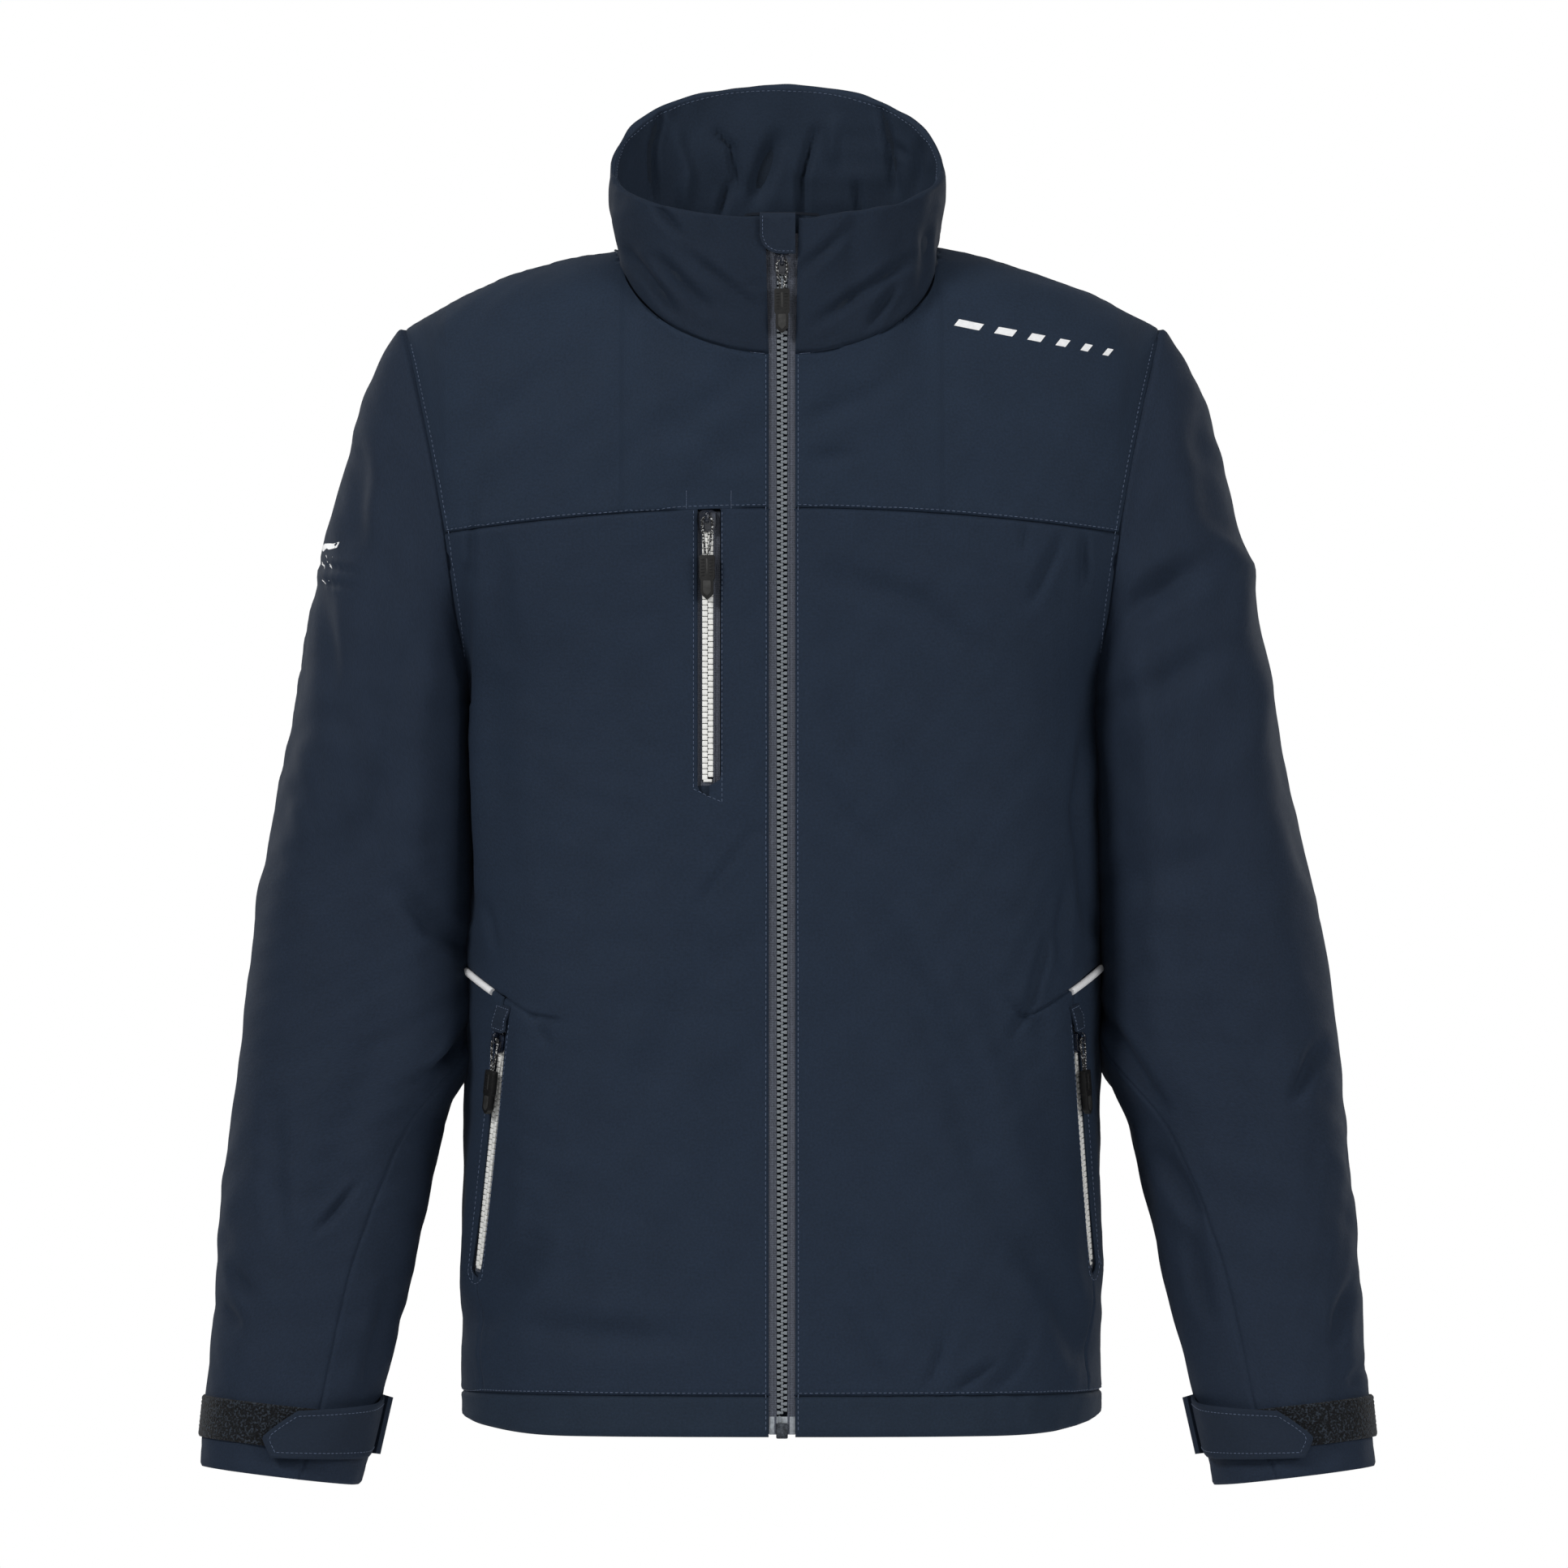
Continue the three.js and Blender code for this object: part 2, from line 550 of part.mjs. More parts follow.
const sideCutters = SIDES.map(([name, side]) =>
  cloth(mirrored(sidePanelPoint(name, GAP), side), 8, 6, bodyCore, { outer: 8, inner: 12 }),
);
add("back_panel", cut(cloth(backPanelPoint, 20, 10, bodyCore), ...sideCutters), MATERIAL.shell);
add(
  "back_hem",
  cloth(hemPoint(Math.PI / 2 + 0.002, 1.5 * Math.PI - 0.002), 20, 1, bodyCore),
  MATERIAL.shell,
);
const wholeYoke = (u) => (u < 0.5 ? -yokeColumns(0)(1 - 2 * u) : yokeColumns(0)(2 * u - 1));
const backYoke = cloth(yokePoint(wholeYoke, () => TORSO.backYokeSeam, backNeck, backY, 1), 28, 7, bodyCore, {
  keep: (p) => V(p.x, Math.max(p.y, GAP / 2), p.z),
});
add("back_yoke", cut(backYoke, collarCutter), MATERIAL.shell);

// ---- Collar and hanger loop ---------------------------------------------------------------------------------
const offZip = (p) =>
  p.y < -90 && Math.abs(p.x) < 12 ? V(Math.sign(p.x) * Math.max(Math.abs(p.x), ZIP_EDGE), p.y, p.z) : p;
add("collar_shell", cloth(collarSheet(collarFrom, 0, 1), 36, 4, collarCore, { keep: offZip }), MATERIAL.shell);
const liningFrom = Math.asin(28 / NECK.halfWidth); // clear of the storm flap
add(
  "collar_lining",
  cloth(collarSheet(liningFrom, 0.12, 0.97), 32, 4, collarCore, { outer: -FABRIC - 3.2, inner: FABRIC + 5 }),
  MATERIAL.lining,
);

// The strap that the jacket hangs by: two legs at the back of the neck, and a bar for the hook to bear on.
function hangerGeometry() {
  const y = [HANGER.y - HANGER.width / 2, HANGER.y + HANGER.width / 2];
  const top = HANGER.z + HANGER.strap;
  const bar = box([-HANGER.halfSpan, HANGER.halfSpan], y, [HANGER.z, top]);
  const legs = SIDES.map(([, side]) => {
    const x = [side * HANGER.halfSpan, side * (HANGER.halfSpan - HANGER.strap)].sort((a, b) => a - b);
    return box(x, y, [HANGER.z - HANGER.drop, top]);
  });
  return join(bar, ...legs);
}
add("hanger_loop", hangerGeometry(), MATERIAL.lining);

// ---- Main zip -----------------------------------------------------------------------------------------------
const mainTop = mainZip.length - 3;
for (const [name, side] of SIDES) {
  add(name + "_main_tape", tapeGeometry(side, 2, mainTop + 2), MATERIAL.tape, mainZip.group);
  add(name + "_main_teeth", teethGeometry(side, 13, mainTop), MATERIAL.teeth, mainZip.group);
}
add(
  "main_retainer_box",
  join(
    box([-3.5, 3.5], [0.9, 2.3], [-0.8, MAIN_ZIP.boxTop]),
    box([-2.9, 2.9], [2.1, 5], [-0.8, MAIN_ZIP.boxTop]),
  ),
  MATERIAL.metal,
  mainZip.group,
);
add("main_insertion_pin", box([-2.6, -0.4], [1.8, 4.4], [MAIN_ZIP.boxTop + GAP, 12.6]), MATERIAL.teeth, mainZip.group);
addPull("main", mainZip, MAIN_ZIP.parked, 17.5);
// Above the parked slider a folded tab of shell fabric keeps it off the chin.
const garageOutline = [[-13, 22.5], [-13, 11], [-11, 5.5], [-6.5, 1.3], [-1, 0], [6.5, 0], [6.5, 22.5]];
add(
  "zip_garage",
  plate(garageOutline.map(([x, z]) => [x, z + MAIN_ZIP.parked + 6]), -3.4, -1.8),
  MATERIAL.shell,
  mainZip.group,
);
add("storm_flap", box([-22, 20], [5.6, 7.2], [4, mainTop + 4]), MATERIAL.lining, mainZip.group);

// ---- Pockets ------------------------------------------------------------------------------------------------
// A pocket bag lies behind the shell, over front-view ranges of x and z.
function bagGeometry(side, xs, zs) {
  const point = (u, v) => {
    const z = lerp(zs[0], zs[1], v);
    return bodyPoint(side * lerp(angleAt(xs[0], z), angleAt(xs[1], z), u), z);
  };
  return cloth(point, 5, 4, bodyCore, { outer: -7, inner: 10.5 });
}
add("chest_pocket_bag", bagGeometry(-1, [32, 118], [372, 548]), MATERIAL.lining);
addPocketZip("chest", chestZip, 2, chestZip.length - 1, 11);
addPull("chest", chestZip, chestZip.length - SLIDER.length / 2 - 0.4, 23);
for (const [name, side] of SIDES) {
  const zip = handZips[name];
  add(name + "_hand_pocket_bag", bagGeometry(side, [78, 166], [84, 236]), MATERIAL.lining);
  addPocketZip(name + "_hand", zip, 2, zip.length - 1, 7.9);
  addPull(name + "_hand", zip, zip.length - 11, 20);
  const flap = [[-7.5, -5], [7.5, -5], [7.5, 11], [-7.5, 11]].map(([x, z]) => [x, z + zip.length]);
  add(name + "_hand_garage", plate(flap, -3.4, -1.8), MATERIAL.shell, zip.group);
}

// The reflective piping in the seam above each hand pocket.
for (const [name, side] of SIDES) {
  const point = (u, v) => {
    const angle = lerp(angleAt(175, 268), SIDE_PANEL.back, u);
    return bodyPoint(angle, sidePanelTop(angle) + lerp(-3.4, 0.4, v));
  };
  add(name + "_piping", cloth(mirrored(point, side), 10, 1, bodyCore, { outer: 1.3, inner: -0.4 }),
    MATERIAL.reflective);
}

// ---- Sleeves ------------------------------------------------------------------------------------------------
const sleeveAt = table(SLEEVE);

// The centreline on the +X side, and a ring round it: angle 0 is the outer side and 90 degrees the front.
const sleeveX = (name, z) => sleeveAt(z)[0] + SLEEVE_SWING[name] * smooth((430 - z) / 160);
function sleeveRing(name, angle, z) {
  const [, y, a, b, tilt] = sleeveAt(z);
  const n = 2 / SLEEVE_ROUNDNESS;
  const out = a * power(Math.cos(angle), n);
  return V(
    sleeveX(name, z) + out * Math.cos(tilt),
    y - b * power(Math.sin(angle), n),
    z + out * Math.sin(tilt),
  );
}

// The armhole's loop, at the same angles: over the shoulder at 0, down the front at 90, under the arm at 180.
function armholePoint(angle) {
  const share = (1 + Math.cos(angle)) / 2;
  const z = lerp(TORSO.underarm, TORSO.shoulderTip.z, share);
  const x = armholeX(z);
  return V(x + SLEEVE_GAP, Math.sin(angle) >= 0 ? frontY(x, z) : backY(x, z), z);
}

// From the armhole to the first ring the sleeve bends smoothly out over the shoulder and down.
const CAP_RING = SLEEVE[0][0];
function sleevePoint(name, angle, t) {
  const capShare = 0.62;
  if (t >= capShare) {
    return sleeveRing(name, angle, lerp(CAP_RING, ELBOW + GAP, (t - capShare) / (1 - capShare)));
  }
  const u = t / capShare;
  const from = armholePoint(angle);
  const to = sleeveRing(name, angle, CAP_RING);
  const [c, s] = [Math.cos(angle), Math.sin(angle)];
  const leave = V(lerp(42, 66, smooth(c)), 6 * s, lerp(-60, -10, smooth(c)));
  if (c < 0) leave.set(lerp(42, 8, -c), 6 * s, -60);
  const arrive = V(lerp(0, 58, (1 + c) / 2), 0, lerp(-120, -330, (1 + c) / 2));
  const [h0, h1] = [2 * u ** 3 - 3 * u ** 2 + 1, 3 * u ** 2 - 2 * u ** 3];
  const [h2, h3] = [u ** 3 - 2 * u ** 2 + u, u ** 3 - u ** 2];
  return from
    .multiplyScalar(h0)
    .addScaledVector(to, h1)
    .addScaledVector(leave, h2)
    .addScaledVector(arrive, h3);
}

const sleeveCore = (name, side) => (p) => V(side * sleeveX(name, p.z), sleeveAt(p.z)[1], p.z);
const ringAngle = (u) => 2 * Math.PI * u;
const CUFF_END = SLEEVE[SLEEVE.length - 1][0];

// A band round the cuff between two angles, standing off its face. low and high are its edges at either angle.
const bandGeometry = (name, side, angles, low, high, stand, thick) =>
  cloth(
    mirrored((u, v) => {
      const z = lerp(lerp(low[0], low[1], u), lerp(high[0], high[1], u), v);
      return sleeveRing(name, lerp(angles[0], angles[1], u), z);
    }, side),
    12,
    1,
    sleeveCore(name, side),
    { outer: stand + thick, inner: -stand },
  );

for (const [name, side] of SIDES) {
  const core = sleeveCore(name, side);
  add(
    name + "_upper_sleeve",
    cloth(mirrored((u, v) => sleevePoint(name, ringAngle(u), v), side), 24, 10, core, { closed: true }),
    MATERIAL.shell,
  );
  add(
    name + "_lower_sleeve",
    cloth(
      mirrored((u, v) => sleeveRing(name, ringAngle(u), lerp(ELBOW - GAP, CUFF_END, v)), side),
      24,
      7,
      core,
      { closed: true },
    ),
    MATERIAL.shell,
  );
  const strip = bandGeometry(name, side, STRIP.angles, STRIP.low, STRIP.high, 1.6, 1.6);
  add(name + "_cuff_loop_strip", strip, MATERIAL.loop);
  const patch = bandGeometry(name, side, PATCH.angles, PATCH.low, PATCH.high, 4, 0.8);
  add(name + "_cuff_hook_patch", patch, MATERIAL.loop);
  add(name + "_cuff_tab", bandGeometry(name, side, TAB.angles, TAB.low, TAB.high, 5.3, 1.8), MATERIAL.shell);
}

// Reflective transfers: one on the wearer's left shoulder, one high on the right sleeve.
const shoulderMark = (u, v) => {
  const x = lerp(103, 198, u);
  const z = 671 - 0.2 * (x - 103) + lerp(-4, 4, v);
  return V(x, frontY(x, z), z);
};
add("shoulder_transfer", cloth(shoulderMark, 10, 1, bodyCore, { outer: 0.9, inner: -0.3 }), MATERIAL.reflective);
const sleeveMark = (u, v) => sleevePoint("right", lerp(-0.25, 0.5, u), lerp(0.4, 0.425, v));
add(
  "sleeve_transfer",
  cloth(mirrored(sleeveMark, -1), 8, 1, sleeveCore("right", -1), { outer: 0.9, inner: -0.3 }),
  MATERIAL.reflective,
);

for (const child of jacket.children) {
  child.applyMatrix4(new THREE.Matrix4().makeTranslation(0, -HANGER.y, -HANGER.z));
}

export default jacket;
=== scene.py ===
"""A foul weather jacket: its cloth, seams, stitching, zips and trims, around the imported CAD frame.

Shapes are worked out in garment millimetres: x to the wearer's left, -y to the front, z up from the hem.
to_row() turns them into the frame's metres, whose origin is under the hanger loop's bar.
"""
import math

import bmesh
import bpy
import numpy as np
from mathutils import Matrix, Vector
from mathutils.bvhtree import BVHTree
from mathutils.kdtree import KDTree


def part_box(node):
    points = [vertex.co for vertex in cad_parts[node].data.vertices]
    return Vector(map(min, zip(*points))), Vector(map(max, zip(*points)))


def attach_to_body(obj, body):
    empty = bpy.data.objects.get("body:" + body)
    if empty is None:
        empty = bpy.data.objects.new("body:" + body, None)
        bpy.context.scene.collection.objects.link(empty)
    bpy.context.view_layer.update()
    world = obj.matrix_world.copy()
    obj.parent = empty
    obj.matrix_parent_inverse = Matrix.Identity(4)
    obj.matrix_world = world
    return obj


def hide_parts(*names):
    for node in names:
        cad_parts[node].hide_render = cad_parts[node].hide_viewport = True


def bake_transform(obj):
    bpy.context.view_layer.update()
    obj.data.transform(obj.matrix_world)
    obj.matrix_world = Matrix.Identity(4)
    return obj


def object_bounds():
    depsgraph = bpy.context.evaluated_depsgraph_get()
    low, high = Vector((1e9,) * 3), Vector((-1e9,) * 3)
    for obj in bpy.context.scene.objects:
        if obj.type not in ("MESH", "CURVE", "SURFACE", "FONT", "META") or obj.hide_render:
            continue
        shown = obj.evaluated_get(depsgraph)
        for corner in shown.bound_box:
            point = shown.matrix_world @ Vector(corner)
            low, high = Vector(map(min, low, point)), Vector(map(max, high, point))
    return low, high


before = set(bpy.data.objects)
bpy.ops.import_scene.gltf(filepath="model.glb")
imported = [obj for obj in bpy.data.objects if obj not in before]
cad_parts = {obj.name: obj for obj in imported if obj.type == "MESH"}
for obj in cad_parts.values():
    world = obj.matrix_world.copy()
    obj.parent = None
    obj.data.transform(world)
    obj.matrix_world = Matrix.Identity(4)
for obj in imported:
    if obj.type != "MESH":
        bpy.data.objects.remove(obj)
CAD_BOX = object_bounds()

# ---- Driving dimensions, as in the CAD ------------------------------------------------------------------
MM = 0.001
ORIGIN = np.array([0.0, 36.0, -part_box("back_hem")[0].z / MM])

HALF_WIDTH = 193.5
YOKE_HALF_WIDTH = 235.0
ROUNDNESS = 2.6
UNDERARM = 440.0
YOKE_SEAM = 557.5
BACK_YOKE_SEAM = 560.0
TIP_X = 229.0
TIP_Z = 666.5
SHOULDER_TOP = 716.0
FRONT_CLOSES = 551.0
FRONT_RISE, BACK_RISE = 284, 24  # how far the closing curves run on above the shoulder at the neck
FRONT_POWER, BACK_POWER = 2.6, 2.2
BACK_DEPTH = [[0, 132], [150, 122], [300, 118], [450, 124], [560, 118], [760, 118]]
NECK_HALF, NECK_SIDE, NECK_DROP, NECK_BACK = 98.0, 714.0, 64.0, 54
COLLAR_SHIFT = -3.0
HEM = 24.5
ZIP_EDGE = 8.0
POCKET_ZIPS = {"right": ((-169, 247), (-185, 98)), "left": ((177.5, 247), (188.5, 100))}
CHEST_X, CHEST_LOW, CHEST_TOP = -44.8, 392.0, 556.5
MAIN_TOP, MAIN_PARKED, BOX_TOP = 724.0, 705.8, 8.5
SLEEVE = [
    # z, x, y, half width, half depth, tilt
    [395, 248.6, 2, 53, 80, 0],
    [325, 254.6, 0, 59.2, 77, 0],
    [277, 258.6, -3, 62.8, 74, 0],
    [223, 262.6, -8, 66.5, 70, 0.02],
    [160, 273, -16, 62.6, 65, 0.05],
    [100, 282, -25, 58.5, 60, 0.08],
    [42, 291.5, -34, 54, 54, 0.1],
    [-26, 302.5, -46, 49.6, 47, 0.12],
]
SLEEVE_ROUNDNESS = 2.2
SLEEVE_SWING = {"left": 7.0, "right": 0.0}
CAP_RING, CUFF_END = 395.0, -26.0
SIDES = {"left": 1, "right": -1}

CLOTH = 1.7  # thickness of the shell with its lining
STEP = 3.3  # spacing of the cloth's mesh
SIDE_BACK = math.radians(118)


# ---- Small maths ----------------------------------------------------------------------------------------
def to_row(points):
    return (np.asarray(points, float) - ORIGIN) * MM


def lerp(a, b, t):
    return a + (b - a) * t


def smooth(t):
    t = np.clip(t, 0, 1)
    return t * t * (3 - 2 * t)


def fall(q, n):
    return np.maximum(0, 1 - np.abs(q) ** n) ** (1 / n)


def power(v, n):
    return np.sign(v) * np.abs(v) ** n


def bump(d, width):
    return np.exp(-((d / width) ** 2))


def unit(v):
    return v / np.maximum(np.linalg.norm(v, axis=-1, keepdims=True), 1e-9)


def mirrored(points, side):
    """Points worked out for the wearer's left, on either side."""
    return points * np.array([SIDES[side], 1, 1])


def steps_along(line):
    """The distance along a line at each of its points."""
    return np.concatenate([[0], np.cumsum(np.linalg.norm(np.diff(line, axis=0), axis=1))])


def curve_through(rows):
    """A smooth curve through rows [at, value, ...]: a function of at that gives the values."""
    rows = np.array(sorted(rows), float)
    at, values = rows[:, 0], rows[:, 1:]
    last = len(at) - 1
    order = np.arange(last + 1)
    after, before = np.minimum(order + 1, last), np.maximum(order - 1, 0)
    slope = (values[after] - values[before]) / (at[after] - at[before])[:, None]

    def value(x):
        x = np.clip(x, at[0], at[-1])
        i = np.clip(np.searchsorted(at, x) - 1, 0, last - 1)
        h = (at[i + 1] - at[i])[..., None]
        u = (x - at[i])[..., None] / h
        ends = (2 * u**3 - 3 * u**2 + 1) * values[i] + (3 * u**2 - 2 * u**3) * values[i + 1]
        return ends + ((u**3 - 2 * u**2 + u) * slope[i] + (u**3 - u**2) * slope[i + 1]) * h

    return value


def spread(length, low=True, high=True, step=STEP):
    """Places along a length, about a step apart, and closer beside an end that is a seam."""
    near = [0, 0.5, 1, 1.7, 2.8]
    start = near if low else [0]
    end = near if high else [0]
    gap = length - start[-1] - end[-1]
    middle = start[-1] + gap * np.linspace(0, 1, max(2, round(gap / step)) + 1)
    return np.concatenate([start[:-1], middle, length - np.array(end[:-1][::-1])]) / length


def resample(points, step):
    """Points evenly spaced along a line, about a step apart."""
    points = np.asarray(points, float)
    along = steps_along(points)
    wanted = np.linspace(0, along[-1], max(2, round(along[-1] / step) + 1))
    return np.stack([np.interp(wanted, along, points[:, k]) for k in range(3)], -1)


# ---- The body's surface ---------------------------------------------------------------------------------
back_depth_at = curve_through(BACK_DEPTH)


def front_depth(z):
    return 148 - 0.062 * z


def back_depth(z):
    return back_depth_at(z)[..., 0]


def half_width(z):
    return lerp(HALF_WIDTH, YOKE_HALF_WIDTH, smooth((z - UNDERARM) / (YOKE_SEAM - 6.5 - UNDERARM)))


def shoulder_line(x, neck_rise):
    out = np.abs(x) - 90
    inside = SHOULDER_TOP + neck_rise * (1 - np.minimum(1, (x / 90) ** 2)) ** 2
    return np.where(out >= 0, SHOULDER_TOP - 0.0302 * np.maximum(0, out) ** 1.5, inside)


def section(x, z):
    return fall(x / half_width(z), ROUNDNESS)


def close_front(x, z):
    share = (z - FRONT_CLOSES) / (shoulder_line(x, FRONT_RISE) - FRONT_CLOSES)
    closed = fall(np.clip(share, 0, 1), FRONT_POWER)
    return lerp(1, closed, smooth(np.abs(x) / 60))


def close_back(x, z):
    share = (z - BACK_YOKE_SEAM) / (shoulder_line(x, BACK_RISE) - BACK_YOKE_SEAM)
    return fall(np.clip(share, 0, 1), BACK_POWER)


def front_y(x, z):
    return -front_depth(z) * section(x, z) * close_front(x, z)


def back_y(x, z):
    return back_depth(z) * section(x, z) * close_back(x, z)


def body_point(angle, z):
    """Angle 0 is the centre of the front and 90 degrees the wearer's left side."""
    n = 2 / ROUNDNESS
    x = half_width(z) * power(np.sin(angle), n)
    deep = np.abs(np.cos(angle)) ** n
    front = -front_depth(z) * deep * close_front(x, z)
    y = np.where(np.cos(angle) >= 0, front, back_depth(z) * deep * close_back(x, z))
    return np.stack([x, y, z + 0 * x], -1)


def angle_at(x, z):
    return np.arcsin(np.clip(np.abs(x) / half_width(z), 0, 1) ** (ROUNDNESS / 2))


def armhole_x(z):
    t = np.clip((z - UNDERARM) / (TIP_Z - 1.5 - UNDERARM), 0, 1)
    return HALF_WIDTH + (TIP_X - HALF_WIDTH) * t**1.6


def armhole_z(x):
    t = np.clip((np.abs(x) - HALF_WIDTH) / (TIP_X - HALF_WIDTH), 0, 1)
    return UNDERARM + (TIP_Z - 1.5 - UNDERARM) * t ** (1 / 1.6)


def yoke_seam_z(x):
    return YOKE_SEAM - 14.5 * (x / 201) ** 2


# Arc length round the body below the armholes, which spaces the cloth's columns evenly.
BELOW_ARMHOLE = 300.0
ARC_ANGLES = np.linspace(0, 2 * math.pi, 6001)
ARC_RING = body_point(ARC_ANGLES, BELOW_ARMHOLE + 0 * ARC_ANGLES)
ARCS = steps_along(ARC_RING)


def arc_of(angle):
    return np.interp(angle, ARC_ANGLES, ARCS)


def angle_of(arc):
    return np.interp(arc, ARCS, ARC_ANGLES)


# ---- Seam lines of the panels ---------------------------------------------------------------------------
DART_TIP = (148.0, 252.0)


def side_seam_z(angle):
    """The seam over the side panel: a dart in the front, then up to the side and on round the back."""
    x = HALF_WIDTH * np.abs(np.sin(angle)) ** (2 / ROUNDNESS)
    d = np.maximum(0, x - DART_TIP[0])
    front = DART_TIP[1] + 0.587 * d + 0.0032 * d * (d - 23)
    round_back = np.minimum(1, (angle - math.pi / 2) / (SIDE_BACK - math.pi / 2))
    return np.where(angle < math.pi / 2, front, lerp(282, 290, round_back))


def pocket_x(side, z):
    (top_x, top_z), (low_x, low_z) = POCKET_ZIPS[side]
    line = lerp(abs(low_x), abs(top_x), (z - low_z) / (top_z - low_z))
    return np.where(z < low_z, abs(low_x) - 0.06 * (low_z - z), line)


def opening(z, low, high, half, rounding=7.0):
    """Half the width of a zip's opening, rounded at its ends."""
    inside = np.clip(np.minimum(z - low, high - z) / rounding, 0, 1)
    return half * np.sqrt(inside * (2 - inside))


def pocket_gap(side, z):
    (_, top_z), (_, low_z) = POCKET_ZIPS[side]
    return opening(z, low_z - 4, top_z + 3, 5.6)


def hem_low(angle):
    """The hem's lower edge, which rounds up a little at the sides."""
    from_side = np.abs(np.abs((angle + math.pi) % (2 * math.pi) - math.pi) - math.pi / 2)
    return 10 * (1 - smooth(from_side)) ** 1.4


def pocket_end(side):
    """The arc and height where the pocket's line meets the seam over the side panel."""
    z = 265.0
    for _ in range(8):
        angle = angle_at(pocket_x(side, z), BELOW_ARMHOLE)
        z = float(side_seam_z(angle))
    return float(arc_of(angle)), z


def pocket_edge(side, z, sign):
    """The arc of a panel's edge along the pocket's zip."""
    return arc_of(angle_at(pocket_x(side, z), BELOW_ARMHOLE)) + sign * pocket_gap(side, z)


def lower_front(side):
    zip_arc = float(arc_of(angle_at(ZIP_EDGE, BELOW_ARMHOLE)))
    end_arc, end_z = pocket_end(side)

    def point(u, v):
        top = side_seam_z(angle_of(lerp(zip_arc, end_arc, u)))
        edge = pocket_edge(side, lerp(HEM, end_z, v), -1)
        return body_point(angle_of(lerp(zip_arc, edge, u)), lerp(HEM, top, v))

    us = spread(end_arc - zip_arc)
    return grid(us, spread(240.0), point), us


def upper_front(side, us):
    """The front panel above the side panel's seam, in two halves that part at the chest pocket's zip."""
    zip_arc = float(arc_of(angle_at(ZIP_EDGE, BELOW_ARMHOLE)))
    seam_arc, _ = pocket_end(side)
    side_arc = float(arc_of(math.pi / 2))
    inner = zip_arc + us * (seam_arc - zip_arc)
    outer = seam_arc + spread(side_arc - seam_arc, low=False) * (side_arc - seam_arc)
    slot_arc = float(arc_of(angle_at(CHEST_X, BELOW_ARMHOLE)))
    slot_arc = inner[np.argmin(np.abs(inner - slot_arc))]
    columns = np.concatenate([inner, outer[1:]])
    half = 7.0 if side == "right" else 0.0

    def point(sign):
        def at(arc, v):
            bottom = side_seam_z(angle_of(arc))
            z = lerp(bottom, YOKE_SEAM, v)
            away = np.clip(np.abs(arc - slot_arc) / 30, 0, 1)
            for _ in range(5):
                gap = opening(z, CHEST_LOW - 4 - 3 * sign, 900, half, 5)
                angle = angle_of(arc + sign * gap * (1 - away))
                x = HALF_WIDTH * np.sin(angle) ** (2 / ROUNDNESS)
                wider = np.maximum(0, armhole_x(z) - HALF_WIDTH) * smooth((x - 60) / (HALF_WIDTH - 60))
                z = lerp(bottom, yoke_seam_z(x + wider), v)
            angle = np.where(z < UNDERARM, angle, angle_at(x + wider, z))
            return body_point(angle, z)

        return at

    rows = spread(290.0)
    return [
        grid(columns[columns <= slot_arc + 1e-6], rows, point(-1)),
        grid(columns[columns >= slot_arc - 1e-6], rows, point(1)),
    ]


def side_panel(side):
    end_arc, end_z = pocket_end(side)
    back_arc = float(arc_of(SIDE_BACK))

    def point(u, v):
        top = side_seam_z(angle_of(lerp(end_arc, back_arc, u)))
        edge = pocket_edge(side, lerp(HEM, end_z, v), 1)
        return body_point(angle_of(lerp(edge, back_arc, u)), lerp(HEM, top, v))

    return grid(spread(125.0), spread(250.0), point)


def back_panels():
    start, stop = arc_of(SIDE_BACK), arc_of(2 * math.pi - SIDE_BACK)
    middle = start + spread(stop - start) * (stop - start)
    top = float(side_seam_z(np.array(SIDE_BACK)))
    lower = grid(middle, spread(top - HEM), lambda arc, v: body_point(angle_of(arc), lerp(HEM, top, v)))
    side = arc_of(math.pi / 2)
    wing = side + spread(start - side, high=False) * (start - side)
    columns = np.concatenate([wing[:-1], middle, (2 * arc_of(math.pi) - wing[:-1])[::-1]])

    def upper(arc, v):
        angle = angle_of(arc)
        mirrored = np.minimum(angle, 2 * math.pi - angle)
        z = lerp(side_seam_z(np.maximum(mirrored, math.pi / 2 + 1e-6)), BACK_YOKE_SEAM, v)
        first = np.where(z < UNDERARM, math.pi / 2, math.pi - angle_at(armhole_x(z), z))
        return body_point(lerp(first, 2 * math.pi - first, (angle - math.pi / 2) / math.pi), z)

    return [lower, grid(columns, spread(270.0), upper)]


# The neck's seam leaves its arc below this cosine, and runs up over the shoulder line.
NECK_TURN = 0.25
NECK_CORNER_X = NECK_HALF * math.sqrt(1 - NECK_TURN**2)
NECK_CORNER_Y = front_y(np.array(NECK_CORNER_X), np.array(NECK_SIDE - NECK_DROP * NECK_TURN))
ABOVE_YOKE_SEAM = 600.0
NECK_BACK_REACH = 118


def neck_side_y(c):
    """How far forward the neck's seam is beside its corner."""
    return NECK_CORNER_Y * np.clip(c / NECK_TURN, 0, 1) ** 0.8


def neck_cosine(x):
    return np.sqrt(np.maximum(0, 1 - (x / NECK_HALF) ** 2))


def neck_front(x):
    """Height of the neck seam on the front, which runs up over the shoulder line at its side."""
    c = neck_cosine(x)
    reach = front_depth(NECK_SIDE) * section(x, ABOVE_YOKE_SEAM)
    closed = fall(np.clip(neck_side_y(c) / reach, -1, 1), FRONT_POWER)
    high = FRONT_CLOSES + (shoulder_line(x, FRONT_RISE) - FRONT_CLOSES) * closed
    return np.where(c < NECK_TURN, high, NECK_SIDE - NECK_DROP * c)


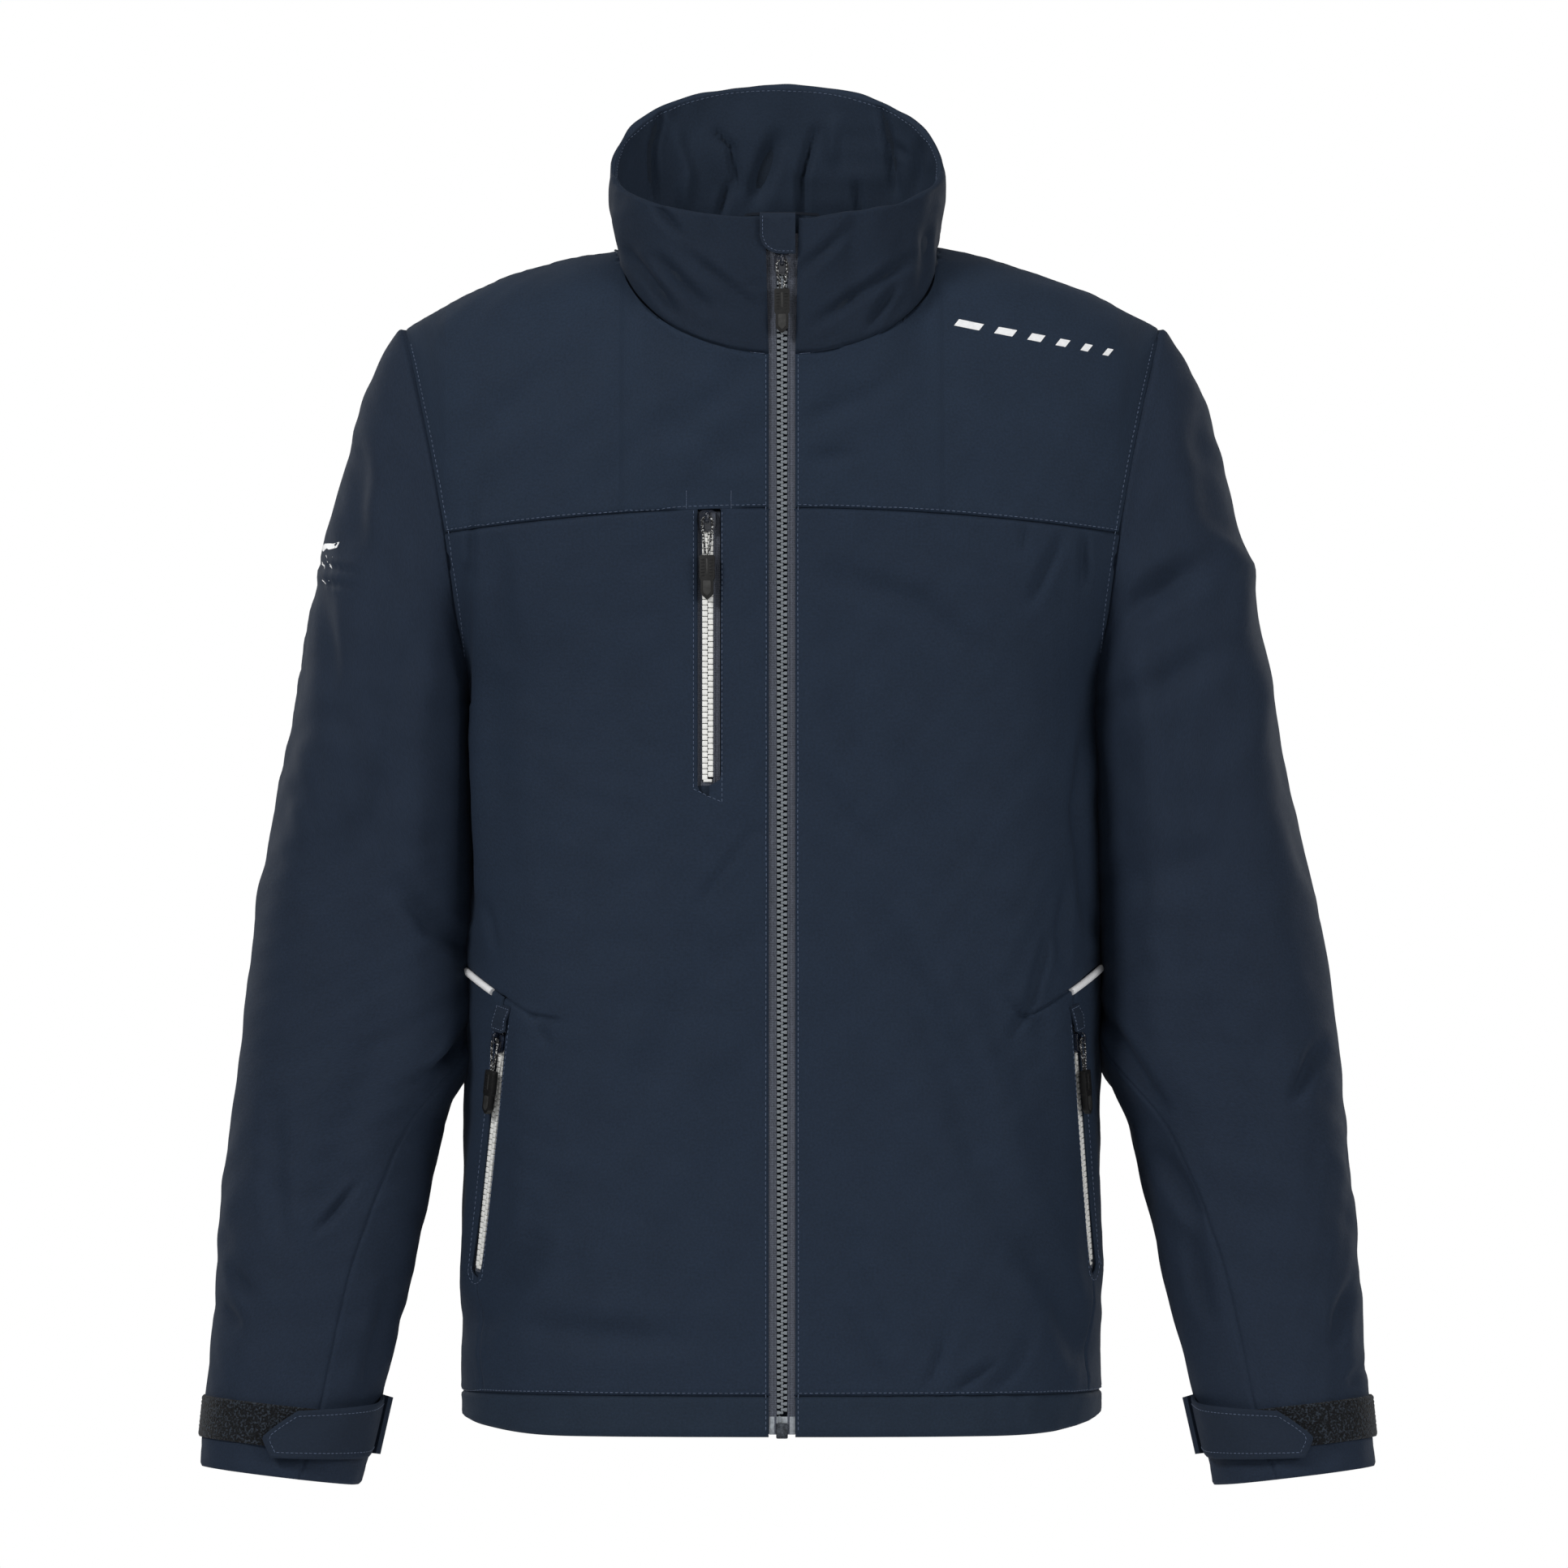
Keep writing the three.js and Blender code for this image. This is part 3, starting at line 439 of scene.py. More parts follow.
def neck_back(x):
    y = NECK_BACK * neck_cosine(x) ** 0.82
    reach = NECK_BACK_REACH * section(x, ABOVE_YOKE_SEAM)
    closed = fall(np.clip(y / reach, 0, 1), BACK_POWER)
    return BACK_YOKE_SEAM + (shoulder_line(x, BACK_RISE) - BACK_YOKE_SEAM) * closed


def yoke(surface, seam, neck, first):
    def point(x, v):
        inside = np.abs(x) < NECK_HALF
        top = np.where(inside, neck(np.clip(x, -NECK_HALF, NECK_HALF)), shoulder_line(x, 0))
        low = np.maximum(seam(x), np.where(np.abs(x) > HALF_WIDTH, armhole_z(x), 0))
        z = lerp(np.minimum(low, top - 0.4), top, 1 - (1 - v) ** 1.8)
        return np.stack([x, surface(x, z), z], -1)

    inner = lerp(first, NECK_HALF, np.sin(spread(105.0, high=False) * math.pi / 2))
    outer = lerp(NECK_HALF, TIP_X, spread(TIP_X - NECK_HALF, low=False))
    columns = np.concatenate([inner, outer[1:]])
    if first == 0:
        columns = np.concatenate([-columns[:0:-1], columns])
    return grid(columns, spread(165.0), point)


def hem_band(first, last):
    def point(arc, v):
        angle = angle_of(arc)
        return body_point(angle, lerp(hem_low(angle), HEM, v))

    arcs = arc_of(first) + spread(arc_of(last) - arc_of(first)) * (arc_of(last) - arc_of(first))
    return grid(arcs, np.array([0, 0.03, 0.08, 0.2, 0.4, 0.6, 0.8, 0.9, 0.95, 1]), point)


# ---- Collar ---------------------------------------------------------------------------------------------
def neck_fit(points):
    """The collar's foot sits a little closer on the wearer's left."""
    closer = 4.3 * smooth((points[..., 0] - 50) / 45) * bump(points[..., 2] - 716, 24)
    return points - np.stack([closer, 0 * closer, 0 * closer], -1)


def neck_seam(angle):
    """The collar's foot, on the yokes' top edge."""
    c = np.cos(angle)
    x = NECK_HALF * np.sin(angle)
    z_front = neck_front(x)
    y_front = np.where(c < NECK_TURN, neck_side_y(c), front_y(x, z_front))
    y_back = NECK_BACK * np.maximum(0, -c) ** 0.82
    return np.stack([x, np.where(c >= 0, y_front, y_back), np.where(c >= 0, z_front, neck_back(x))], -1)


def at_front_zip(c):
    """1 beside the main zip, where the collar lies in the zip's plane, and 0 away from it."""
    return smooth((c - 0.9) / 0.08)


def collar_rim(angle):
    s, c = np.sin(angle), np.cos(angle)
    on_zip = at_front_zip(c)
    z = np.where(c > 0, 760 - 29 * c, 760 + 55 * np.maximum(0, -c) ** 0.9)
    y = lerp(-24, np.where(c > 0, -102.5, 44), np.abs(c) ** 0.82)
    x = 101.5 * np.sign(s) * np.abs(s) ** 0.92 + COLLAR_SHIFT * (1 - on_zip)
    return np.stack([x, lerp(y, -front_depth(z), on_zip), z], -1)


COLLAR_FROM = math.asin(ZIP_EDGE / NECK_HALF)
COLLAR_THICK = 4.6
COLLAR_STEP = 2.8
COLLAR_CORE = np.array([0, -25, 700])  # a point inside the neck


def collar_angles():
    """Angles evenly spaced along the collar, closer together where it turns over the shoulders."""
    fine = np.linspace(COLLAR_FROM, 2 * math.pi - COLLAR_FROM, 3001)
    line = (neck_seam(fine) + collar_rim(fine)) / 2
    along = steps_along(line)
    return np.interp(spread(along[-1], step=COLLAR_STEP) * along[-1], along, fine)


def collar_face(angle, t):
    foot, rim = neck_seam(angle), collar_rim(angle)
    t = t[..., None]
    on_zip = at_front_zip(np.cos(angle))[..., None]
    p = lerp(foot, rim, t)
    swell = 1 + 0.018 * np.sin(math.pi * t) * np.abs(np.sin(angle))[..., None]
    p[..., 0:1] *= swell
    p[..., 1:2] = lerp(p[..., 1:2], -front_depth(p[..., 2:3]), on_zip)
    return p


def collar_patch():
    """The collar as one folded sheet, up its outer face and down inside, and the row where it turns."""
    angles = collar_angles()
    rows = spread(75.0, step=COLLAR_STEP)
    face = neck_fit(collar_face(*np.meshgrid(angles, rows, indexing="ij")))
    du, dv = np.gradient(face, axis=0), np.gradient(face, axis=1)
    normal = unit(np.cross(du, dv))
    if np.sum(normal * (face - COLLAR_CORE)) < 0:
        normal = -normal
    half = COLLAR_THICK / 2
    rim, out = face[:, -1], normal[:, -1]
    up = unit(dv[:, -1])
    turns = np.linspace(0, math.pi, 9)[1:-1]
    fold = [rim + out * half * (math.cos(a) - 1) + up * half * math.sin(a) for a in turns]
    depth = COLLAR_THICK + 1.2 * (1 - rows[::-1])
    inner = face[:, ::-1] - normal[:, ::-1] * depth[None, :, None]
    return np.concatenate([face, np.stack(fold, 1), inner], 1), len(rows) + len(turns)


# ---- Sleeves --------------------------------------------------------------------------------------------
sleeve_at = curve_through(SLEEVE)
SEAM_ANGLE = curve_through([
    # z, degrees round the sleeve
    [-26, 102], [22, 108], [60, 109], [105, 111], [140, 117],
    [180, 127], [209, 140], [235, 160], [256, 180], [300, 180],
])


def swing(side, z):
    """How far a sleeve hangs out from the body below its bend."""
    return SLEEVE_SWING[side] * smooth((430 - z) / 160)


def sleeve_ring(side, angle, z):
    _, y, a, b, tilt = np.moveaxis(sleeve_at(z), -1, 0)
    x = sleeve_at(z)[..., 0] + swing(side, z)
    n = 2 / SLEEVE_ROUNDNESS
    out = a * power(np.cos(angle), n)
    return np.stack([x + out * np.cos(tilt), y - b * power(np.sin(angle), n), z + out * np.sin(tilt)], -1)


def armhole_point(angle):
    z = lerp(UNDERARM, TIP_Z, (1 + np.cos(angle)) / 2)
    x = armhole_x(z)
    return np.stack([x, np.where(np.sin(angle) >= 0, front_y(x, z), back_y(x, z)), z], -1)


def ring_z(s):
    """The height of a ring of the sleeve, which is the first ring's all the way up the cap."""
    return np.minimum(CAP_RING, CAP_RING - (s - 1) * 100)


def sleeve_point(side, angle, s):
    """s runs from 0 at the armhole to 1 at the first ring, then on down in hundreds of millimetres."""
    ring = sleeve_ring(side, angle, ring_z(s))
    u = np.clip(s, 0, 1)[..., None]
    c, sine = np.cos(angle), np.sin(angle)
    zero = 0 * c
    outward = np.where(c < 0, lerp(42, 8, -c), lerp(42, 60, smooth(c)))
    fallen = np.where(c < 0, -60, lerp(-60, -30, smooth(c)))
    leave = np.stack([outward, 6 * sine, fallen], -1)
    arrive = np.stack([lerp(0, 58, (1 + c) / 2), zero, lerp(-120, -330, (1 + c) / 2)], -1)
    cap = armhole_point(angle) * (2 * u**3 - 3 * u**2 + 1) + ring * (3 * u**2 - 2 * u**3)
    cap = cap + leave * (u**3 - 2 * u**2 + u) + arrive * (u**3 - u**2)
    return np.where(s[..., None] < 1, cap, ring)


def sleeve_rows():
    cap = np.concatenate([[0, 0.006, 0.012, 0.02, 0.032], np.linspace(0.045, 1, 84)])
    down = 1 + np.arange(1, round((CAP_RING - CUFF_END) / STEP) + 1) * STEP / 100
    last = 1 + (CAP_RING - CUFF_END) / 100
    return np.concatenate([cap, down[down < last - 0.03], [last - 0.02, last - 0.008, last]])


def sleeve_angles(s):
    """Angles round the sleeve whose middle column runs along its seam."""
    near = np.array([0, 0.8, 1.6, 2.8, 5]) / 200
    half = np.concatenate([np.linspace(0, 1 - near[-1], 62), 1 - near[::-1][1:]])
    seam = np.radians(SEAM_ANGLE(ring_z(s))[..., 0])
    first = half[:, None] * seam[None, :]
    second = 2 * math.pi - half[::-1][1:, None] * (2 * math.pi - seam)[None, :]
    return np.concatenate([first, second], 0), len(half) - 1


# ---- Meshes ---------------------------------------------------------------------------------------------
def grid(us, vs, point):
    return point(*np.meshgrid(us, vs, indexing="ij"))


WELD = 0.02  # points closer than this are one


def weld(patches):
    """Joins grids of points into vertices, quads and each corner's place on the cloth in millimetres."""
    points, quads, places = [], [], []
    start = 0
    for patch in patches:
        nu, nv = patch.shape[:2]
        index = start + np.arange(nu * nv).reshape(nu, nv)
        corners = [index[:-1, :-1], index[1:, :-1], index[1:, 1:], index[:-1, 1:]]
        quads.append(np.stack(corners, -1).reshape(-1, 4))
        across = np.zeros((nu, nv))
        up = np.zeros((nu, nv))
        across[1:] = np.cumsum(np.linalg.norm(np.diff(patch, axis=0), axis=2), axis=0)
        up[:, 1:] = np.cumsum(np.linalg.norm(np.diff(patch, axis=1), axis=2), axis=1)
        across = np.repeat(across[:, nv // 2][:, None], nv, 1)
        places.append(np.stack([across, up], -1).reshape(-1, 2))
        points.append(patch.reshape(-1, 3))
        start += nu * nv
    points, quads, places = np.concatenate(points), np.concatenate(quads), np.concatenate(places)
    corner_places = places[quads]
    _, first, inverse = np.unique(np.round(points / WELD), axis=0, return_index=True, return_inverse=True)
    quads = inverse.reshape(-1)[quads]
    sound = (quads[:, 0] != quads[:, 2]) & (quads[:, 1] != quads[:, 3])
    return points[first], quads[sound], corner_places[sound]


def normals_of(points, quads):
    across = points[quads[:, 2]] - points[quads[:, 0]]
    up = points[quads[:, 3]] - points[quads[:, 1]]
    face = np.cross(across, up)
    total = np.zeros_like(points)
    for k in range(4):
        np.add.at(total, quads[:, k], face)
    return unit(total)


def border_of(quads):
    """The edges that only one quad has, in that quad's direction."""
    edges = np.concatenate([quads[:, [k, (k + 1) % 4]] for k in range(4)])
    edges = edges[edges[:, 0] != edges[:, 1]]
    _, inverse, counts = np.unique(np.sort(edges, 1), axis=0, return_inverse=True, return_counts=True)
    return edges[counts[inverse.reshape(-1)] == 1]


def distance_to(points, lines):
    tree = KDTree(len(lines))
    for i, p in enumerate(lines):
        tree.insert(p, i)
    tree.balance()
    return np.array([tree.find(p)[2] for p in points])


def make_object(name, points, faces, materials, slots=None, places=None, normals=None):
    """A mesh object from garment points; slots, places and normals are per face, corner and corner."""
    mesh = bpy.data.meshes.new(name)
    mesh.from_pydata(to_row(points).tolist(), [], [list(map(int, f)) for f in faces])
    for m in materials:
        mesh.materials.append(m)
    if slots is not None:
        mesh.polygons.foreach_set("material_index", np.asarray(slots, np.int32))
    mesh.polygons.foreach_set("use_smooth", np.full(len(mesh.polygons), True))
    if places is not None:
        layer = mesh.uv_layers.new(name="cloth")
        layer.data.foreach_set("uv", np.asarray(places, np.float32).ravel())
    mesh.update()
    if normals is not None:
        mesh.normals_split_custom_set(np.asarray(normals, float).tolist())
    obj = bpy.data.objects.new(name, mesh)
    bpy.context.scene.collection.objects.link(obj)
    return obj


def sheet_faces(points, quads, normals, thickness):
    """A sheet's vertices and faces with its inner layer and its rims."""
    count = len(points)
    inner = points - normals * thickness
    border = border_of(quads)
    rims = np.stack([border[:, 1], border[:, 0], border[:, 0] + count, border[:, 1] + count], -1)
    return np.concatenate([points, inner]), quads[:, ::-1] + count, rims


SKINS = {}


def attach(obj, body=None, slot=None, *nodes):
    """Hides the CAD parts that a piece stands for and hangs it from the body that carries it; slot is not
    used.
    """
    if nodes:
        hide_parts(*nodes)
    if body:
        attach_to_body(obj, body)
    return obj


def sheet_object(name, points, quads, places, normals, thickness, materials, split=False):
    """A sheet as an object, whose outer face is kept for the stitching; split keeps the given normals."""
    SKINS[name] = (points, quads)
    everything, back, rims = sheet_faces(points, quads, normals, thickness)
    faces = np.concatenate([quads, back, rims])
    slots = np.zeros(len(faces))
    slots[len(quads):len(quads) + len(back)] = len(materials) - 1
    rim_places = np.zeros((len(rims), 4, 2))
    all_places = np.concatenate([places, places[:, ::-1], rim_places]).reshape(-1, 2)
    corner_normals = None
    if split:
        both = np.concatenate([normals, -normals])
        a, b, c, d = np.moveaxis(everything[rims], 1, 0)
        rim_normals = np.repeat(unit(np.cross(c - a, d - b)), 4, 0)
        sides = both[np.concatenate([quads, back])].reshape(-1, 3)
        corner_normals = np.concatenate([sides, rim_normals])
    return make_object(name, everything, faces, materials, slots, all_places, corner_normals)


def sew(name, points, quads, places, outside, thickness=CLOTH, split_normals=None):
    """Makes a cloth piece with a lined inner face."""
    split = split_normals is not None
    normals = split_normals if split else normals_of(points, quads)
    return sheet_object(name, points, quads, places, normals, thickness, [outside, LINING], split)


# ---- Folds and seams ------------------------------------------------------------------------------------
def crease(points, line, width, depth):
    """A fold along a line, seen from the front: a valley, or a ridge where depth is below 0."""
    line = np.asarray(line, float)
    best = np.full(len(points), 1e9)
    share = np.zeros(len(points))
    spans = np.linalg.norm(np.diff(line, axis=0), axis=1)
    before = 0
    for a, b, span in zip(line[:-1], line[1:], spans):
        t = np.clip((points - a) @ (b - a) / span**2, 0, 1)
        d = np.linalg.norm(points - (a + t[:, None] * (b - a)), axis=1)
        closer = d < best
        best = np.where(closer, d, best)
        share = np.where(closer, (before + t * span) / spans.sum(), share)
        before += span
    r = best / width
    taper = 0.3 + 0.7 * np.sin(math.pi * share) ** 0.7
    return -depth * (1 - 1.1 * r**2) * np.exp(-(r**2)) * taper


FOLD_STRENGTH = 4.2


def folds(points, lines):
    return FOLD_STRENGTH * sum(crease(points, *line) for line in lines)


def waves(points, seed, sizes, height):
    """Soft unevenness: a sum of seeded ripples of the given lengths."""
    rng = np.random.default_rng(seed)
    total = np.zeros(len(points))
    for size in sizes:
        for _ in range(5):
            direction = rng.normal(size=3) * np.array([1, 1, 0.7])
            direction /= np.linalg.norm(direction)
            phase = rng.uniform(0, 2 * math.pi)
            longer = size * rng.uniform(0.8, 1.3)
            total += np.sin(points @ direction * 2 * math.pi / longer + phase) * size
    return total * height / (sum(sizes) * 5)


def wrinkles(points, seed):
    """Small wrinkles in patches: ripples a few centimetres long that come and go over the cloth."""
    rng = np.random.default_rng(seed)
    total = np.zeros(len(points))
    for size in (34, 22, 15):
        for _ in range(3):
            direction = unit(rng.normal(size=3) * np.array([1, 0.6, 1]))
            bend = unit(rng.normal(size=3))
            wobble = 0.9 * np.sin(points @ bend * 2 * math.pi / 130 + rng.uniform(0, 6))
            across = unit(rng.normal(size=3))
            patch = smooth(1.3 * np.sin(points @ across * 2 * math.pi / 210 + rng.uniform(0, 6)))
            ripple = np.sin(points @ direction * 2 * math.pi / size + wobble + rng.uniform(0, 6))
            total += patch * ripple * size
    return total / 50


FRONT_FOLDS = [
    # the wearer's right panel
    ([(-191, 520), (-192, 420), (-190, 310)], 6, 1.3),
    ([(-181, 505), (-182, 420), (-180, 330)], 9, -1.0),
    ([(-187, 560), (-187.5, 515)], 4, 0.7),
    ([(-170, 535), (-166, 470)], 9, 0.6),
    ([(-12, 364), (-19, 362), (-32, 344), (-52, 318)], 4, 0.55),
    ([(-150, 110), (-172, 82), (-184, 62)], 14, 1.6),
    ([(-60, 58), (-110, 62), (-160, 66)], 12, 0.9),
    ([(-178, 318), (-172, 292)], 3.5, 0.6),
    ([(-166, 262), (-163, 240)], 3, 0.6),
    ([(-148, 252), (-140, 236)], 2.6, 0.7),
    ([(-150, 252), (-134, 249)], 2.6, 0.5),
    ([(-166, 196), (-172, 140), (-176, 96)], 10, 0.9),
    ([(-36, 300), (-66, 250), (-84, 190)], 22, 0.8),
    # the wearer's left panel
    ([(29, 517), (82, 500), (118, 467)], 12, 0.9),
    ([(68, 414), (107, 344)], 13, 0.8),
    ([(15, 400), (54, 349)], 11, 0.7),
    ([(23, 447), (51, 395)], 10, 0.6),
    ([(44, 326), (80, 270), (105, 215), (120, 160), (150, 105)], 15, 0.9),
    ([(70, 326), (106, 262), (134, 200), (146, 150)], 14, -0.6),
    ([(146, 546), (146.5, 531)], 3.5, 0.6),
    ([(168, 540), (149, 500)], 5, 0.8),
    ([(182.5, 540), (182, 511)], 4, 0.8),
    ([(186, 440), (178, 380), (186, 300)], 6, 1.1),
    ([(160, 300), (150, 262), (138, 240)], 4, 0.9),
    ([(135, 262), (149, 251), (160, 244)], 3, 0.7),
    ([(172, 330), (168, 300), (170, 280)], 5, 0.9),
    ([(176, 262), (180, 246)], 3, 0.6),
    ([(150, 110), (170, 80), (182, 44)], 13, 1.5),
    ([(35, 128), (52, 80), (68, 50)], 7, 0.6),
    ([(40, 74), (56, 48), (66, 30)], 5, 0.7),
    ([(100, 62), (92, 40), (86, 28)], 5, 0.7),
    ([(128, 44), (112, 34), (104, 27)], 4, 0.9),
    ([(150, 60), (140, 40), (128, 30)], 6, 0.6),
    # the yokes
    ([(12, 609), (62, 629)], 9, 0.5),
    ([(12, 586), (48, 590)], 6, 0.4),
    ([(-20, 640), (-60, 610), (-90, 596)], 14, 0.4),
    ([(100, 640), (150, 620), (186, 590)], 18, 0.6),
    ([(-112, 660), (-150, 630), (-190, 600)], 18, 0.6),
]
HEM_PUCKERS = [50, 71, 91, 107, 126, 143, 158, 172, -30, -62, -95, -128, -151, -174]
BACK_PUCKERS = 14
BACK_FOLDS = [
    ([(-150, 540), (-120, 430), (-90, 300)], 18, 1.4),
    ([(-60, 545), (-52, 400), (-62, 230)], 20, 1.2),
    ([(-12, 430), (-20, 290), (-8, 140)], 22, 1.0),
    ([(52, 540), (66, 410), (58, 250)], 20, 1.3),
    ([(148, 535), (126, 420), (98, 290)], 17, 1.4),
    ([(-170, 250), (-110, 190), (-50, 170)], 14, 1.1),
    ([(172, 230), (120, 170), (60, 150)], 14, 1.1),
    ([(-100, 120), (-40, 90), (30, 100)], 16, 0.9),
    ([(110, 110), (80, 70), (70, 30)], 12, 0.9),
    ([(-160, 480), (-176, 400), (-172, 320)], 9, 1.2),
    ([(165, 490), (178, 405), (170, 320)], 9, 1.2),
    ([(-190, 640), (-120, 610), (-60, 600)], 18, 0.7),
    ([(190, 640), (120, 615), (70, 600)], 18, 0.7),
]
COLLAR_FRONT = [
    ([(-77, 741), (-62, 723)], 4, 0.9),
    ([(-92, 712), (-64, 674)], 4.5, 1.0),
    ([(-75, 708), (-45, 678)], 5, 1.0),
    ([(-56, 710), (-15, 678)], 4, 0.8),
    ([(-22, 692), (-11, 692)], 2.5, 0.5),
    ([(38, 724), (10, 699)], 4.5, 0.9),
    ([(78, 708), (19, 668)], 5, 1.0),
    ([(69, 692), (52, 666)], 4, 0.8),
    ([(90, 726), (84, 690)], 6, 0.9),
]
COLLAR_BACK = [
    ([(-73, 800), (-79, 778), (-78, 744)], 3.2, 1.3),
    ([(-66, 790), (-58, 764), (-60, 742)], 5, -0.8),
    ([(-40, 788), (-31, 778), (-26, 753)], 3, 1.2),
    ([(-32, 757), (-39, 734)], 3, 0.9),
    ([(-4, 784), (-17, 746)], 7, 1.5),
    ([(20, 790), (12, 760), (13, 732)], 3.4, 1.3),
    ([(45, 757), (49, 734)], 3, 1.0),
    ([(32, 796), (30, 770)], 5, -0.8),
    ([(60, 802), (66, 774), (69, 752)], 3.4, 1.3),
    ([(67, 780), (76, 774)], 2.6, 0.8),
    ([(84, 780), (82, 748)], 5, 1.0),
]


def body_relief(points, normals):
    flat = points[:, [0, 2]]
    front = smooth((-normals[:, 1] + 0.25) / 0.4)
    back = smooth((normals[:, 1] + 0.1) / 0.4)
    total = waves(points, 3, (170, 90, 45), 3.2) + 0.4 * wrinkles(points, 31)
    total += 2.2 * bump(np.abs(points[:, 0]) - 178, 42) * bump(points[:, 2] - 690, 30)
    total += front * folds(flat, FRONT_FOLDS) + back * folds(flat, BACK_FOLDS)
    low = bump(points[:, 2] - 14, 17)
    for k, x in enumerate(HEM_PUCKERS):
        strength = 0.75 if x > 0 else 0.4
        total -= front * low * strength * bump(points[:, 0] - x - 0.12 * points[:, 2] * (-1) ** k, 5)
    for k in range(BACK_PUCKERS):
        x = -182 + 28 * k + 6 * math.sin(5 * k)
        total -= back * low * 0.6 * bump(points[:, 0] - x, 7)
    at_zip = bump(points[:, 0], 14) * front
    above = (points[:, 2] > UNDERARM) & (points[:, 2] < TIP_Z - 4)
    from_armhole = np.where(above, armhole_x(points[:, 2]) - np.abs(points[:, 0]), 99)
    for name in ("chest", "right_hand", "left_hand"):
        local = ZIPS[name].local(points)
        along = smooth((local[:, 2] + 14) / 12) * smooth((ZIPS[name].length + 14 - local[:, 2]) / 12)
        total *= 1 - 0.9 * bump(local[:, 0], 9) * along * (np.abs(local[:, 1]) < 30)
    return total * (1 - 0.92 * at_zip) * smooth((from_armhole + 2) / 16)


def seam_dip(points, lines, depth=1.5, width=0.95, lift=0.3):
    """A seam: the cloth turns in at the line, and its folded edges stand a little proud beside it."""
    d = distance_to(points, lines)
    pucker = 1 + 0.5 * np.sin(points @ np.array([0.83, 0.37, 0.71]) * 2 * math.pi / 9)
    return -depth * bump(d, width) + lift * bump(d - 3.6, 2.2) * pucker


# ---- Zip frames -----------------------------------------------------------------------------------------
class ZipLine:
    """x across the zip, y into the jacket from the cloth's face, z along it from its lower end."""

    def __init__(self, low, high, outward):
        low, high, outward = (np.array(v, float) for v in (low, high, outward))
        self.low = low
        self.length = float(np.linalg.norm(high - low))
        self.along = (high - low) / self.length
        into = -(outward - (outward @ self.along) * self.along)
        self.into = into / np.linalg.norm(into)
        self.across = np.cross(self.into, self.along)

    def place(self, local):
        basis = np.stack([self.across, self.into, self.along])
        return self.low + np.asarray(local, float) @ basis

    def local(self, points):
        basis = np.stack([self.across, self.into, self.along])
        return (points - self.low) @ basis.T

    def settle(self, points, reach=34.0):
        """Moves cloth beside the zip into the zip's plane."""
        q = self.local(points)
        near = (1 - smooth((np.abs(q[:, 0]) - 9) / (reach - 9))) * (np.abs(q[:, 1]) < 40)
        near = near * smooth((q[:, 2] + 26) / 26) * smooth((self.length + 20 - q[:, 2]) / 16)
        return points - self.into * (q[:, 1] * near)[:, None]


def on_front(x, z):
    return [x, float(front_y(np.array(float(x)), np.array(float(z)))), z]


def front_normal(x, z):
    here, right, up = (np.array(on_front(*at)) for at in ((x, z), (x + 2, z), (x, z + 2)))
    return np.cross(right - here, up - here)


def hand_zip(side):
    top, low = POCKET_ZIPS[side]
    middle = (top[0] + low[0]) / 2, (top[1] + low[1]) / 2
    return ZipLine(on_front(*low), on_front(*top), front_normal(*middle))


ZIPS = {
    "main": ZipLine([0, -front_depth(0), 0], [0, -front_depth(MAIN_TOP), MAIN_TOP], [0, -1, 0]),
    "chest": ZipLine(on_front(CHEST_X, CHEST_LOW), on_front(CHEST_X, CHEST_TOP), [-0.06, -1, 0]),
    "right_hand": hand_zip("right"),
    "left_hand": hand_zip("left"),
}


# ---- Materials ------------------------------------------------------------------------------------------
def colour(r, g, b):
    """A display colour as the shader's linear one."""
    linear = [c / 255 / 12.92 if c <= 10 else ((c / 255 + 0.055) / 1.055) ** 2.4 for c in (r, g, b)]
    return (*linear, 1.0)


